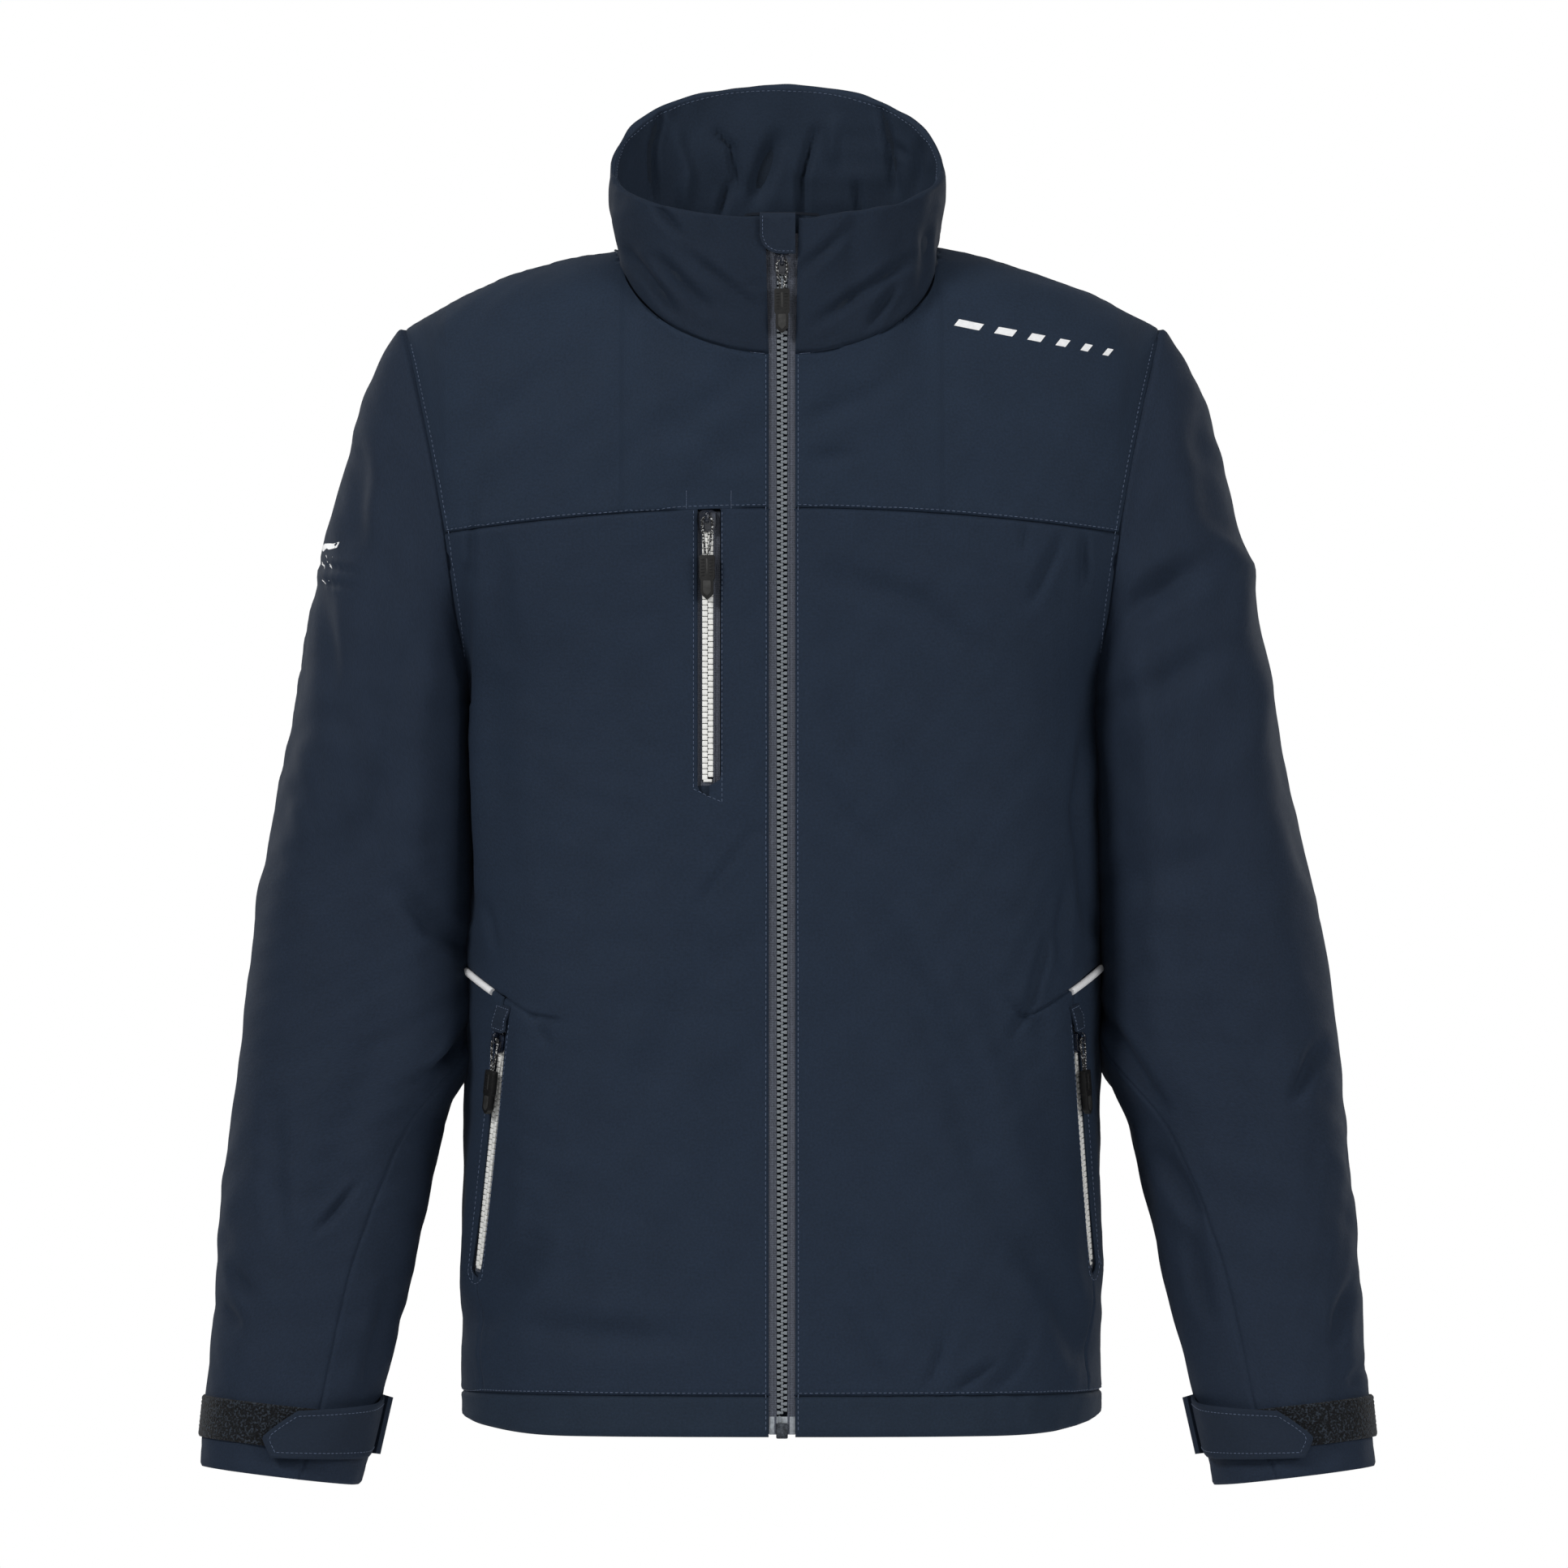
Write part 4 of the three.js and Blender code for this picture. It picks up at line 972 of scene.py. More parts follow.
class Shader:
    """A Principled material, with short ways to add what varies over it."""

    def __init__(self, name, rgb, roughness, uv=False, **sockets):
        self.material = bpy.data.materials.new(name)
        self.material.use_nodes = True
        self.tree = self.material.node_tree
        self.main = self.tree.nodes["Principled BSDF"]
        self.rgb = rgb
        self.main.inputs["Base Color"].default_value = colour(*rgb)
        self.main.inputs["Roughness"].default_value = roughness
        for socket, value in sockets.items():
            self.main.inputs[socket.replace("_", " ")].default_value = value
        if uv:
            self.place = self.add("ShaderNodeUVMap", uv_map="cloth").outputs["UV"]
            self.unit = 1.0
        else:
            self.place = self.add("ShaderNodeTexCoord").outputs["Object"]
            self.unit = 1 / MM
        self.height = None

    def add(self, kind, **settings):
        node = self.tree.nodes.new(kind)
        for key, value in settings.items():
            setattr(node, key, value)
        return node

    def link(self, output, socket):
        self.tree.links.new(output, socket)

    def noise(self, size, detail=2.0):
        """Noise with features of about size millimetres."""
        mapping = self.add("ShaderNodeMapping")
        mapping.inputs["Scale"].default_value = [self.unit / size] * 3
        self.link(self.place, mapping.inputs["Vector"])
        node = self.add("ShaderNodeTexNoise")
        node.inputs["Scale"].default_value = 1.0
        node.inputs["Detail"].default_value = detail
        self.link(mapping.outputs["Vector"], node.inputs["Vector"])
        return node.outputs["Fac"]

    def bands(self, period, axis, slant=0.0):
        """Bands of the given period in millimetres across an axis."""
        mapping = self.add("ShaderNodeMapping")
        mapping.inputs["Scale"].default_value = [self.unit] * 3
        mapping.inputs["Rotation"].default_value = [0, 0, math.radians(slant)]
        self.link(self.place, mapping.inputs["Vector"])
        node = self.add("ShaderNodeTexWave", bands_direction=axis)
        node.inputs["Scale"].default_value = 0.314 / period
        self.link(mapping.outputs["Vector"], node.inputs["Vector"])
        return node.outputs["Fac"]

    def math(self, operation, a, b):
        node = self.add("ShaderNodeMath", operation=operation)
        for socket, value in zip(node.inputs, (a, b)):
            if hasattr(value, "is_linked"):
                self.link(value, socket)
            else:
                socket.default_value = value
        return node.outputs[0]

    def ramp(self, fac, low, high, first, second):
        """Runs from first to second, both display colours, as fac goes from low to high."""
        node = self.add("ShaderNodeValToRGB")
        ends = node.color_ramp.elements
        ends[0].position, ends[1].position = low, high
        ends[0].color, ends[1].color = colour(*first), colour(*second)
        self.link(fac, node.inputs["Fac"])
        return node.outputs["Color"]

    def mix(self, fac, a, b):
        node = self.add("ShaderNodeMix", data_type="RGBA")
        for index, value in ((0, fac), (6, a), (7, b)):
            if hasattr(value, "is_linked"):
                self.link(value, node.inputs[index])
            else:
                node.inputs[index].default_value = value
        return node.outputs[2]

    def paint(self, output):
        self.link(output, self.main.inputs["Base Color"])
        return self

    def tone(self, fac, spread_by, low=0.3, high=0.7):
        """The colour, darker and lighter by a share as fac goes from low to high."""
        dark = [c * (1 - spread_by) for c in self.rgb]
        light = [min(255, c * (1 + spread_by)) for c in self.rgb]
        return self.ramp(fac, low, high, dark, light)

    def relief(self, fac, depth, strength=1.0):
        """Bump of a depth in millimetres, on top of what is there."""
        node = self.add("ShaderNodeBump")
        node.inputs["Distance"].default_value = depth * MM
        node.inputs["Strength"].default_value = strength
        self.link(fac, node.inputs["Height"])
        if self.height is not None:
            self.link(self.height, node.inputs["Normal"])
        self.height = node.outputs["Normal"]
        self.link(self.height, self.main.inputs["Normal"])
        return self

    def rough(self, fac, low, high):
        node = self.add("ShaderNodeMapRange")
        node.inputs["To Min"].default_value = low
        node.inputs["To Max"].default_value = high
        self.link(fac, node.inputs["Value"])
        self.link(node.outputs["Result"], self.main.inputs["Roughness"])
        return self


def fabric(name, rgb, grain=0.10, weave=0.62, sheen=0.04, uv=True):
    """A close plain weave with a matt, slightly mottled face."""
    s = Shader(name, rgb, 0.78, uv=uv, Sheen_Weight=sheen, Sheen_Roughness=0.45, Specular_IOR_Level=0.16)
    s.main.inputs["Sheen Tint"].default_value = colour(150, 165, 190)
    mottle = s.mix(0.5, s.tone(s.noise(1.5, 3), grain * 1.6), s.tone(s.noise(26, 3), grain * 0.5))
    threads = s.math("ADD", s.bands(weave, "X"), s.bands(weave, "Y" if uv else "Z"))
    s.paint(mottle)
    s.relief(threads, 0.05, 0.6)
    s.relief(s.noise(1.3, 3), 0.16, 0.8)
    s.relief(s.noise(9, 2), 0.3, 0.5)
    s.rough(s.noise(3, 2), 0.7, 0.88)
    return s.material


def thread_material():
    s = Shader("thread", (74, 88, 112), 0.6, Sheen_Weight=0.1)
    s.paint(s.tone(s.noise(0.8, 2), 0.25))
    s.relief(s.bands(0.5, "DIAGONAL"), 0.06)
    return s.material


def tape_material(name, rgb):
    s = Shader(name, rgb, 0.85, Sheen_Weight=0.1, Specular_IOR_Level=0.25)
    chevrons = s.math("ADD", s.bands(1.1, "Z"), s.bands(0.9, "X"))
    dark, light = [c * 0.6 for c in rgb], [min(255, c * 1.25) for c in rgb]
    s.paint(s.mix(0.5, s.ramp(chevrons, 0.4, 1.5, dark, light), s.tone(s.noise(0.7, 2), 0.35)))
    s.relief(chevrons, 0.12, 0.8)
    s.relief(s.noise(0.8, 2), 0.1, 0.7)
    return s.material


def resin(name, rgb, roughness, spread_by=0.08):
    s = Shader(name, rgb, roughness, Specular_IOR_Level=0.5)
    s.paint(s.tone(s.noise(2.5, 2), spread_by))
    s.relief(s.noise(1.2, 2), 0.03, 0.6)
    s.rough(s.noise(4, 2), roughness * 0.85, roughness * 1.2)
    return s.material


def enamel():
    """Dark enamelled zinc, with a painted highlight a little lighter on its edges."""
    s = Shader("slider_enamel", (18, 25, 40), 0.22, Metallic=0.2, Coat_Weight=0.6, Coat_Roughness=0.1)
    # Painted highlight: where pointiness finds a sharp edge, the enamel is mixed towards a lighter
    # blue-grey.
    edge = s.add("ShaderNodeNewGeometry").outputs["Pointiness"]
    edge_highlight = s.ramp(edge, 0.56, 0.68, (0, 0, 0), (255, 255, 255))
    s.paint(s.mix(edge_highlight, colour(18, 25, 40), colour(64, 74, 94)))
    s.relief(s.noise(0.9, 2), 0.02, 0.6)
    s.rough(s.noise(1.6, 2), 0.2, 0.36)
    return s.material


def chrome():
    s = Shader("retainer_chrome", (70, 74, 80), 0.22, Metallic=0.9)
    s.paint(s.tone(s.noise(1.4, 3), 0.3))
    s.relief(s.noise(0.5, 2), 0.02, 0.5)
    s.rough(s.noise(1.2, 2), 0.16, 0.36)
    return s.material


def cord_material():
    """Black braid with pale reflective flecks."""
    s = Shader("pull_braid", (16, 16, 18), 0.6, Sheen_Weight=0.05)
    flecks = s.ramp(s.noise(0.9, 1), 0.57, 0.62, (14, 14, 16), (236, 238, 238))
    s.paint(s.mix(0.85, s.tone(s.noise(0.4, 2), 0.4), flecks))
    s.relief(s.math("ADD", s.bands(0.7, "X", 35), s.bands(0.7, "Z", -35)), 0.14)
    return s.material


def rubber():
    s = Shader("pull_rubber", (17, 17, 17), 0.45, Specular_IOR_Level=0.4)
    s.paint(s.tone(s.noise(1.8, 3), 0.25))
    s.relief(s.noise(0.35, 2), 0.03, 0.8)
    s.rough(s.noise(2.2, 2), 0.42, 0.62)
    return s.material


def reflective():
    s = Shader("reflective_film", (247, 248, 250), 0.4, Sheen_Weight=0.1)
    beads = s.math("MULTIPLY", s.bands(0.5, "X"), s.bands(0.5, "Z"))
    s.paint(s.tone(s.math("ADD", beads, s.noise(2.2, 2)), 0.05, 0.3, 1.2))
    s.relief(beads, 0.04, 0.6)
    return s.material


def pile(name, rgb, fleck):
    """Hook or loop pile: dark tangled loops with pale flecks where they catch the light."""
    s = Shader(name, rgb, 0.85, Sheen_Weight=0.08, Sheen_Roughness=0.5, Specular_IOR_Level=0.2)
    tangle = s.noise(1.5, 4)
    flecks = s.ramp(s.noise(1.3, 4), 0.5, 0.64, (0, 0, 0), (255, 255, 255))
    s.paint(s.mix(flecks, s.tone(tangle, 0.7), colour(*fleck)))
    s.relief(tangle, 1.2, 1.0)
    return s.material


def film():
    s = Shader("zip_end_film", (150, 156, 162), 0.25, Specular_IOR_Level=0.5, Coat_Weight=0.4)
    s.paint(s.tone(s.noise(2, 2), 0.12))
    s.relief(s.bands(0.9, "X"), 0.05, 0.6)
    return s.material


CHEST_CLOTH = fabric("shell_chest", (32.7, 44, 59.9))
YOKE_CLOTH = fabric("shell_yoke", (33.5, 45.3, 61.3))
SLEEVE_CLOTH = fabric("shell_sleeve", (32.3, 42.6, 58))
COLLAR_CLOTH = fabric("shell_collar", (27.8, 38, 52.3))
HEM_CLOTH = fabric("shell_hem", (32.7, 44, 58.5))
TRIM_CLOTH = fabric("shell_trim", (33.5, 43.1, 56.6), grain=0.08, uv=False)
LINING = fabric("lining", (31.8, 40.8, 52.8), grain=0.08, weave=0.9, sheen=0.06)
# The collar's facing is the collar's cloth painted lighter: painted light that makes up for the light that
# reaches less far inside the collar.
COLLAR_FACING_PAINTED_LIGHTER = fabric("collar_facing", (35.3, 46.2, 61.3), grain=0.08, sheen=0.05)
WEBBING = fabric("hanger_webbing", (30, 36, 46), grain=0.14, weave=1.4)
THREAD = thread_material()
TAPE = tape_material("zip_tape", (76, 80, 90))
TEETH_GREY = resin("main_teeth_resin", (118, 124, 130), 0.26)
TEETH_WHITE = resin("pocket_teeth_resin", (244, 244, 240), 0.38, 0.03)
ENAMEL = enamel()
CHROME = chrome()
BRAID = cord_material()
RUBBER = rubber()
REFLECTIVE = reflective()
LOOP = pile("loop_pile", (8, 10, 13), (48, 56, 66))
HOOK = pile("hook_pile", (24, 26, 31), (60, 62, 68))
FILM = film()
TRIM_SHEET = fabric("shell_flap", (31, 40.5, 54.5), grain=0.08)
RUBBER_GREY = resin("pull_grey", (44, 44, 43), 0.5, 0.2)


# ---- Camera, lights and floor ---------------------------------------------------------------------------
def aim(obj, target):
    obj.rotation_euler = (Vector(target) - obj.location).to_track_quat("-Z", "Y").to_euler()


LIGHTS = (
    # name, place from the middle of the jacket, size, power
    ("key", (-2.5, -2.3, 2.2), 1.2, 82),
    ("fill", (2.7, -2.4, 0.9), 1.6, 46),
    ("front", (0.0, -4.2, 0.2), 2.6, 12),
    ("top", (0.0, -0.5, 2.8), 2.0, 12),
    ("left_back", (-2.0, 2.4, 1.0), 1.8, 24),
    ("right_back", (2.0, 2.4, 0.6), 1.8, 20),
)
CAMERA_X, CAMERA_Z = 1.2, 391.5  # what it looks at, in garment millimetres
CAMERA_AWAY, VIEW_ACROSS = 12.0, 0.9467
WORLD_FILL = 0.18
FLOOR_BELOW, FLOOR_RADIUS = 0.4, 1.5


def camera_and_lights(scene, centre):
    camera = bpy.data.objects.new("camera", bpy.data.cameras.new("camera"))
    camera.location = to_row([CAMERA_X, -60 - CAMERA_AWAY / MM, CAMERA_Z])
    camera.rotation_euler = (math.pi / 2, 0, 0)
    camera.data.lens = camera.data.sensor_width * CAMERA_AWAY / VIEW_ACROSS
    camera.data.clip_end = 60
    scene.collection.objects.link(camera)
    scene.camera = camera
    scene.view_settings.view_transform = "Standard"
    for name, place, size, power in LIGHTS:
        light = bpy.data.objects.new(name, bpy.data.lights.new(name, "AREA"))
        light.data.shape = "DISK"
        light.data.size = size
        light.data.energy = power
        light.location = centre + Vector(place)
        aim(light, centre)
        scene.collection.objects.link(light)


def backdrop(scene):
    """White to the camera, and a weak cool fill to everything else."""
    world = bpy.data.worlds.new("studio")
    scene.world = world
    world.use_nodes = True
    nodes, links = world.node_tree.nodes, world.node_tree.links
    white = nodes["Background"]
    white.inputs["Color"].default_value = (1, 1, 1, 1)
    fill = nodes.new("ShaderNodeBackground")
    fill.inputs["Color"].default_value = (0.97, 0.985, 1, 1)
    fill.inputs["Strength"].default_value = WORLD_FILL
    mixer = nodes.new("ShaderNodeMixShader")
    links.new(nodes.new("ShaderNodeLightPath").outputs["Is Camera Ray"], mixer.inputs["Fac"])
    links.new(fill.outputs["Background"], mixer.inputs[1])
    links.new(white.outputs["Background"], mixer.inputs[2])
    links.new(mixer.outputs["Shader"], nodes["World Output"].inputs["Surface"])


def lay_floor(scene, centre, low):
    mesh = bpy.data.meshes.new("floor")
    bm = bmesh.new()
    bmesh.ops.create_circle(bm, cap_ends=True, segments=96, radius=FLOOR_RADIUS)
    bm.to_mesh(mesh)
    bm.free()
    floor = bpy.data.objects.new("floor", mesh)
    floor.location = (centre.x, centre.y, low.z - FLOOR_BELOW)
    pale = Shader("floor_paper", (246, 246, 247), 0.9)
    pale.paint(pale.tone(pale.noise(900, 1), 0.006))
    mesh.materials.append(pale.material)
    scene.collection.objects.link(floor)


def studio():
    low, high = CAD_BOX
    centre = (low + high) / 2
    camera_and_lights(bpy.context.scene, centre)
    backdrop(bpy.context.scene)
    lay_floor(bpy.context.scene, centre, low)


studio()


# ---- Panels ---------------------------------------------------------------------------------------------
def settle_all(points):
    for side in SIDES:
        points = ZIPS[side + "_hand"].settle(points)
    return ZIPS["chest"].settle(points, 26.0)


def oriented(points, quads, places, core):
    """Turns the quads so that they face away from the core."""
    normals = normals_of(points, quads)
    away = points - np.stack([0 * points[:, 0], 0 * points[:, 0] + core, points[:, 2]], -1)
    if np.sum(normals * away) < 0:
        return quads[:, ::-1], places[:, ::-1]
    return quads, places


def panel(name, patches, cloth, replaced, lines=(), loose=None):
    """A panel of the body, sewn in along its edges; loose(points) marks edges that aren't seams."""
    points, quads, places = weld(patches)
    quads, places = oriented(points, quads, places, -10)
    normals = normals_of(points, quads)
    edge = points[np.unique(border_of(quads))]
    seams = edge if loose is None else edge[~loose(edge)]
    moved = body_relief(points, normals) + seam_dip(points, seams)
    if loose is not None and loose(edge).any():
        moved += -1.3 * bump(distance_to(points, edge[loose(edge)]), 0.9)
    for line, depth, width in lines:
        moved += seam_dip(points, resample(line, 1.0), depth, width, 0.15)
    points = settle_all(points + normals * moved[:, None])
    attach(sew(name, points, quads, places, cloth), "jacket", "shell", *replaced)


def at_zip(points):
    return (np.abs(points[:, 0]) < ZIP_EDGE + 0.6) & (points[:, 1] < -80)


def in_slot(side):
    """Edges beside a pocket's zip, which turn in further than a seam does."""

    def test(points):
        zips = [ZIPS[side + "_hand"]] + ([ZIPS["chest"]] if side == "right" else [])
        found = at_zip(points)
        for line in zips:
            q = line.local(points)
            aside = np.abs(q[:, 0])
            found |= (aside > 3) & (aside < 9) & (q[:, 2] > 0) & (q[:, 2] < line.length)
        return found

    return test


def build_panels():
    for side in SIDES:
        lower, us = lower_front(side)
        patches = [mirrored(p, side) for p in [lower, *upper_front(side, us)]]
        tip_arc = arc_of(angle_at(DART_TIP[0], BELOW_ARMHOLE))
        angles = angle_of(np.linspace(tip_arc, pocket_end(side)[0], 30))
        dart = mirrored(body_point(angles, side_seam_z(angles)), side)
        panel(side + "_front_cloth", patches, CHEST_CLOTH, [side + "_front_panel"],
              lines=[(dart, 2.2, 0.8)], loose=in_slot(side))
        flank = mirrored(side_panel(side), side)
        panel(side + "_side_cloth", [flank], CHEST_CLOTH, [side + "_side_panel"], loose=in_slot(side))
        band = hem_band(angle_at(ZIP_EDGE, 10.0), math.pi / 2)
        panel(side + "_hem_cloth", [mirrored(band, side)], HEM_CLOTH, [side + "_front_hem"],
              loose=lambda p: at_zip(p) | (p[:, 2] < 12))
        front = yoke(front_y, yoke_seam_z, neck_front, ZIP_EDGE)
        panel(side + "_yoke_cloth", [neck_fit(mirrored(front, side))], YOKE_CLOTH, [side + "_front_yoke"],
              loose=at_zip)
    panel("back_cloth", back_panels(), CHEST_CLOTH, ["back_panel"])
    panel("back_hem_cloth", [hem_band(math.pi / 2, 1.5 * math.pi)], HEM_CLOTH, ["back_hem"],
          loose=lambda p: p[:, 2] < 12)
    back = yoke(back_y, lambda x: BACK_YOKE_SEAM + 0 * x, neck_back, 0)
    panel("back_yoke_cloth", [neck_fit(back)], YOKE_CLOTH, ["back_yoke"])


def collar_relief(points, normals):
    flat = points[:, [0, 2]]
    inside_back = smooth((-normals[:, 1] - 0.2) / 0.4) * (points[:, 1] > -30)
    outside_front = smooth((-normals[:, 1] - 0.1) / 0.4) * (points[:, 1] < -30)
    total = waves(points, 8, (60, 34), 2.2) + 0.5 * wrinkles(points, 51)
    total += inside_back * folds(flat, COLLAR_BACK) + outside_front * folds(flat, COLLAR_FRONT)
    at_edge = bump(np.minimum(np.abs(points[:, 0]), 60), 13) * (points[:, 1] < -60)
    return total * (1 - 0.9 * at_edge)


def part_of(points, quads, places, keep):
    """The chosen quads with only their own vertices."""
    used, index = np.unique(quads[keep], return_inverse=True)
    return points[used], index.reshape(-1, 4), places[keep], used


def build_collar():
    whole, turned = collar_patch()
    points, quads, _ = weld([whole[:, :12]])
    if np.sum(normals_of(points, quads) * (points - COLLAR_CORE)) < 0:
        whole = whole[::-1]
    foot = neck_fit(neck_seam(collar_angles()))
    points, quads, places = weld([whole])
    normals = normals_of(points, quads)
    moved = collar_relief(points, normals) * smooth((distance_to(points, foot) - 1) / 8)
    moved += seam_dip(points, foot, 2.0, 1.6, 0.25)
    ends = points[np.unique(border_of(quads))]
    moved -= 0.8 * bump(distance_to(points, ends[at_zip(ends)]), 0.9)
    rim = whole[:, turned - 2]
    moved -= 0.7 * bump(distance_to(points, rim), 0.6)
    points = points + normals * moved[:, None]
    normals = normals_of(points, quads)
    rows = whole.shape[1] - 1
    inside = np.arange(len(quads)) % rows >= turned - 4
    for name, keep, cloth, node, slot in (
        ("collar_cloth", ~inside, COLLAR_CLOTH, "collar_shell", "shell"),
        ("collar_inner_cloth", inside, COLLAR_FACING_PAINTED_LIGHTER, "collar_lining", "lining"),
    ):
        part, part_quads, part_places, used = part_of(points, quads, places, keep)
        obj = sew(name, part, part_quads, part_places, cloth, 1.2, normals[used])
        attach(obj, "jacket", slot, node)


build_panels()
build_collar()

# ---- Sleeves --------------------------------------------------------------------------------------------
SLEEVE_FOLDS = {
    "right": [
        ([(-255, 594), (-257, 560), (-257, 535)], 10, 1.3),
        ([(-276, 510), (-273, 480), (-270, 450)], 8, 1.1),
        ([(-281, 524), (-254, 519)], 2.6, 0.5),
        ([(-281, 514), (-256, 509)], 2.6, 0.5),
        ([(-290, 470), (-300, 400), (-308, 340)], 14, 0.9),
        ([(-318, 345), (-322, 310)], 9, -1.0),
        ([(-232, 330), (-216, 305), (-200, 290)], 8, 1.5),
        ([(-205, 281), (-194, 279)], 3, 0.7),
        ([(-193, 256), (-204, 232), (-216, 208)], 5.5, 1.4),
        ([(-194, 240), (-208, 226), (-222, 214)], 4, 0.9),
        ([(-256, 150), (-268, 136), (-280, 122)], 4, 0.9),
        ([(-306, 200), (-305, 160), (-302, 112)], 9, 0.8),
        ([(-330, 96), (-322, 84)], 6, 0.9),
        ([(-338, 76), (-328, 64)], 6, 0.9),
        ([(-236, 84), (-242, 56), (-249, 30)], 7, 1.3),
        ([(-240, 240), (-262, 190), (-276, 120)], 16, 0.7),
        ([(-225, 420), (-240, 380), (-262, 350)], 16, 0.7),
    ],
    "left": [
        ([(247, 620), (254, 575), (260, 535)], 12, 1.0),
        ([(258, 540), (274, 521), (270, 484)], 10, -1.3),
        ([(206, 494), (230, 510), (252, 522)], 12, 1.8),
        ([(210, 440), (236, 456), (262, 472)], 13, 1.2),
        ([(208, 330), (234, 340), (262, 350)], 15, 0.8),
        ([(276, 470), (284, 440), (280, 405)], 11, -1.0),
        ([(296, 440), (304, 380), (316, 330)], 10, 0.8),
        ([(324, 236), (316, 218), (309, 202)], 6, 1.2),
        ([(338, 300), (344, 230), (347, 150)], 10, 0.9),
        ([(198, 262), (212, 236), (232, 196)], 5.5, 1.2),
        ([(228, 168), (240, 150), (250, 128)], 8, 1.3),
        ([(246, 120), (250, 100), (256, 70)], 7, 1.1),
        ([(344, 90), (336, 72), (334, 54)], 6, 1.2),
        ([(352, 40), (342, 30)], 5, 0.7),
        ([(288, 230), (280, 170), (286, 110)], 16, 0.6),
        ([(240, 300), (250, 260), (262, 220)], 14, 0.6),
    ],
}
SLEEVE_BACK_FOLDS = [
    ([(232, 600), (258, 560), (284, 540)], 14, 1.4),
    ([(214, 520), (246, 500), (286, 490)], 13, 1.3),
    ([(208, 430), (250, 420), (300, 430)], 13, 1.4),
    ([(206, 372), (250, 352), (306, 360)], 11, 1.6),
    ([(208, 320), (256, 300), (316, 312)], 11, 1.6),
    ([(214, 270), (262, 252), (322, 262)], 12, 1.4),
    ([(244, 190), (284, 176), (326, 190)], 14, 1.0),
    ([(256, 110), (292, 96), (334, 108)], 12, 0.9),
    ([(264, 50), (296, 60), (340, 46)], 9, 0.8),
]
SHOULDER_SPLIT = 345.0
ELBOW_SPLIT = 238.0
SLEEVE_FULLER = {"right": 3.9, "left": 6.2}


def grid_normals(points):
    """Normals of a grid that runs round the sleeve and ends on its first column."""
    closed = np.concatenate([points[-2:-1], points, points[1:2]])
    du, dv = np.gradient(closed, axis=0)[1:-1], np.gradient(points, axis=1)
    return unit(np.cross(du, dv))


def sleeve_fullness(side, points, normals):
    """The sleeve's fuller outer side, and behind the arm a fold that rests against the body."""
    sign = SIDES[side]
    z = points[:, 2]
    outer = smooth((normals[:, 0] * sign - 0.1) / 0.7)
    share = smooth((662 - z) / 45) * lerp(0.4, 1, smooth((z - 250) / 120))
    fuller = SLEEVE_FULLER[side] * share * smooth((z - 60) / 110)
    inner = smooth((-normals[:, 0] * sign - 0.1) / 0.5)
    under_arm = smooth((446 - z) / 9)
    behind = (12.5 + swing(side, z)) * bump(points[:, 1] - 40, 25) * under_arm * smooth((z - 186) / 34)
    ahead = 6.0 * bump(points[:, 1] + 2, 34) * under_arm * smooth((z - 190) / 40)
    quarter = inner * smooth((-normals[:, 1] + 0.15) / 0.5)
    forward = 9.5 * quarter * smooth((500 - z) / 60) * smooth((z - 180) / 50)
    lift = 2.2 * bump(np.abs(points[:, 0]) - 222, 30) * bump(z - 668, 26)
    return outer * fuller + inner * (behind + ahead) + forward + lift


def sleeve_mesh(side):
    """The whole sleeve as one grid of displaced points, with its normals."""
    s = sleeve_rows()
    angles, seam_column = sleeve_angles(s)
    points = mirrored(sleeve_point(side, angles, np.repeat(s[None, :], len(angles), 0)), side)
    sign = SIDES[side]
    normals = grid_normals(points)
    core = np.stack([sign * 250 + 0 * points[..., 0], 0 * points[..., 0] - 5, points[..., 2]], -1)
    if np.sum(normals * (points - core)) < 0:
        normals = -normals
    flat = points.reshape(-1, 3)
    out = normals.reshape(-1, 3)
    front = smooth((-out[:, 1] + 0.3) / 0.5)
    back = smooth((out[:, 1] + 0.1) / 0.5)
    moved = waves(flat, 21 + sign, (150, 80, 42), 3.4) + 0.55 * wrinkles(flat, 41 + sign)
    moved += front * folds(flat[:, [0, 2]], SLEEVE_FOLDS[side])
    moved += back * folds(flat[:, [0, 2]] * np.array([sign, 1]), SLEEVE_BACK_FOLDS)
    moved *= smooth((distance_to(flat, points[:, 0]) - 2) / 16)
    moved += sleeve_fullness(side, flat, out)
    moved += seam_dip(flat, points[:, 0], 1.5, 1.0, 0.25)
    moved += seam_dip(flat, points[seam_column], 0.9, 1.1, 0.2)
    moved -= 1.0 * bump(distance_to(flat, points[:, -1]), 1.1)
    moved -= 0.35 * bump(distance_to(flat, resample(points[:, -6], 3)), 1.0)
    points = (flat + out * moved[:, None]).reshape(points.shape)
    inward = unit(np.array([0, 0, 560.0]) - points[:, 0]) * np.array([1, 1, 0.3])
    points[:, 0] += 5.5 * inward
    points[-1] = points[0]
    fresh = grid_normals(points)
    fresh[-1] = fresh[0] = unit(fresh[0] + fresh[-1])
    if np.sum(fresh * normals) < 0:
        fresh = -fresh
    return s, points, fresh


def hang_from_armhole(obj, sign):
    """Bakes the piece's transform; the armhole's seam point and the way beyond it are worked out but not
    used.
    """
    start = np.array([196.5 * sign, 0, 440.0])
    away = np.array([0.975 * sign, 0, -0.222]) * 40
    to_row(start)
    to_row(start + away)
    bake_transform(obj)


def at_points(wanted, points, values):
    """The values given at grid points, looked up for the welded points that came from them."""
    known = {tuple(p): value for p, value in zip(np.round(points / WELD).astype(int), values)}
    return np.array([known[tuple(p)] for p in np.round(wanted / WELD).astype(int)])


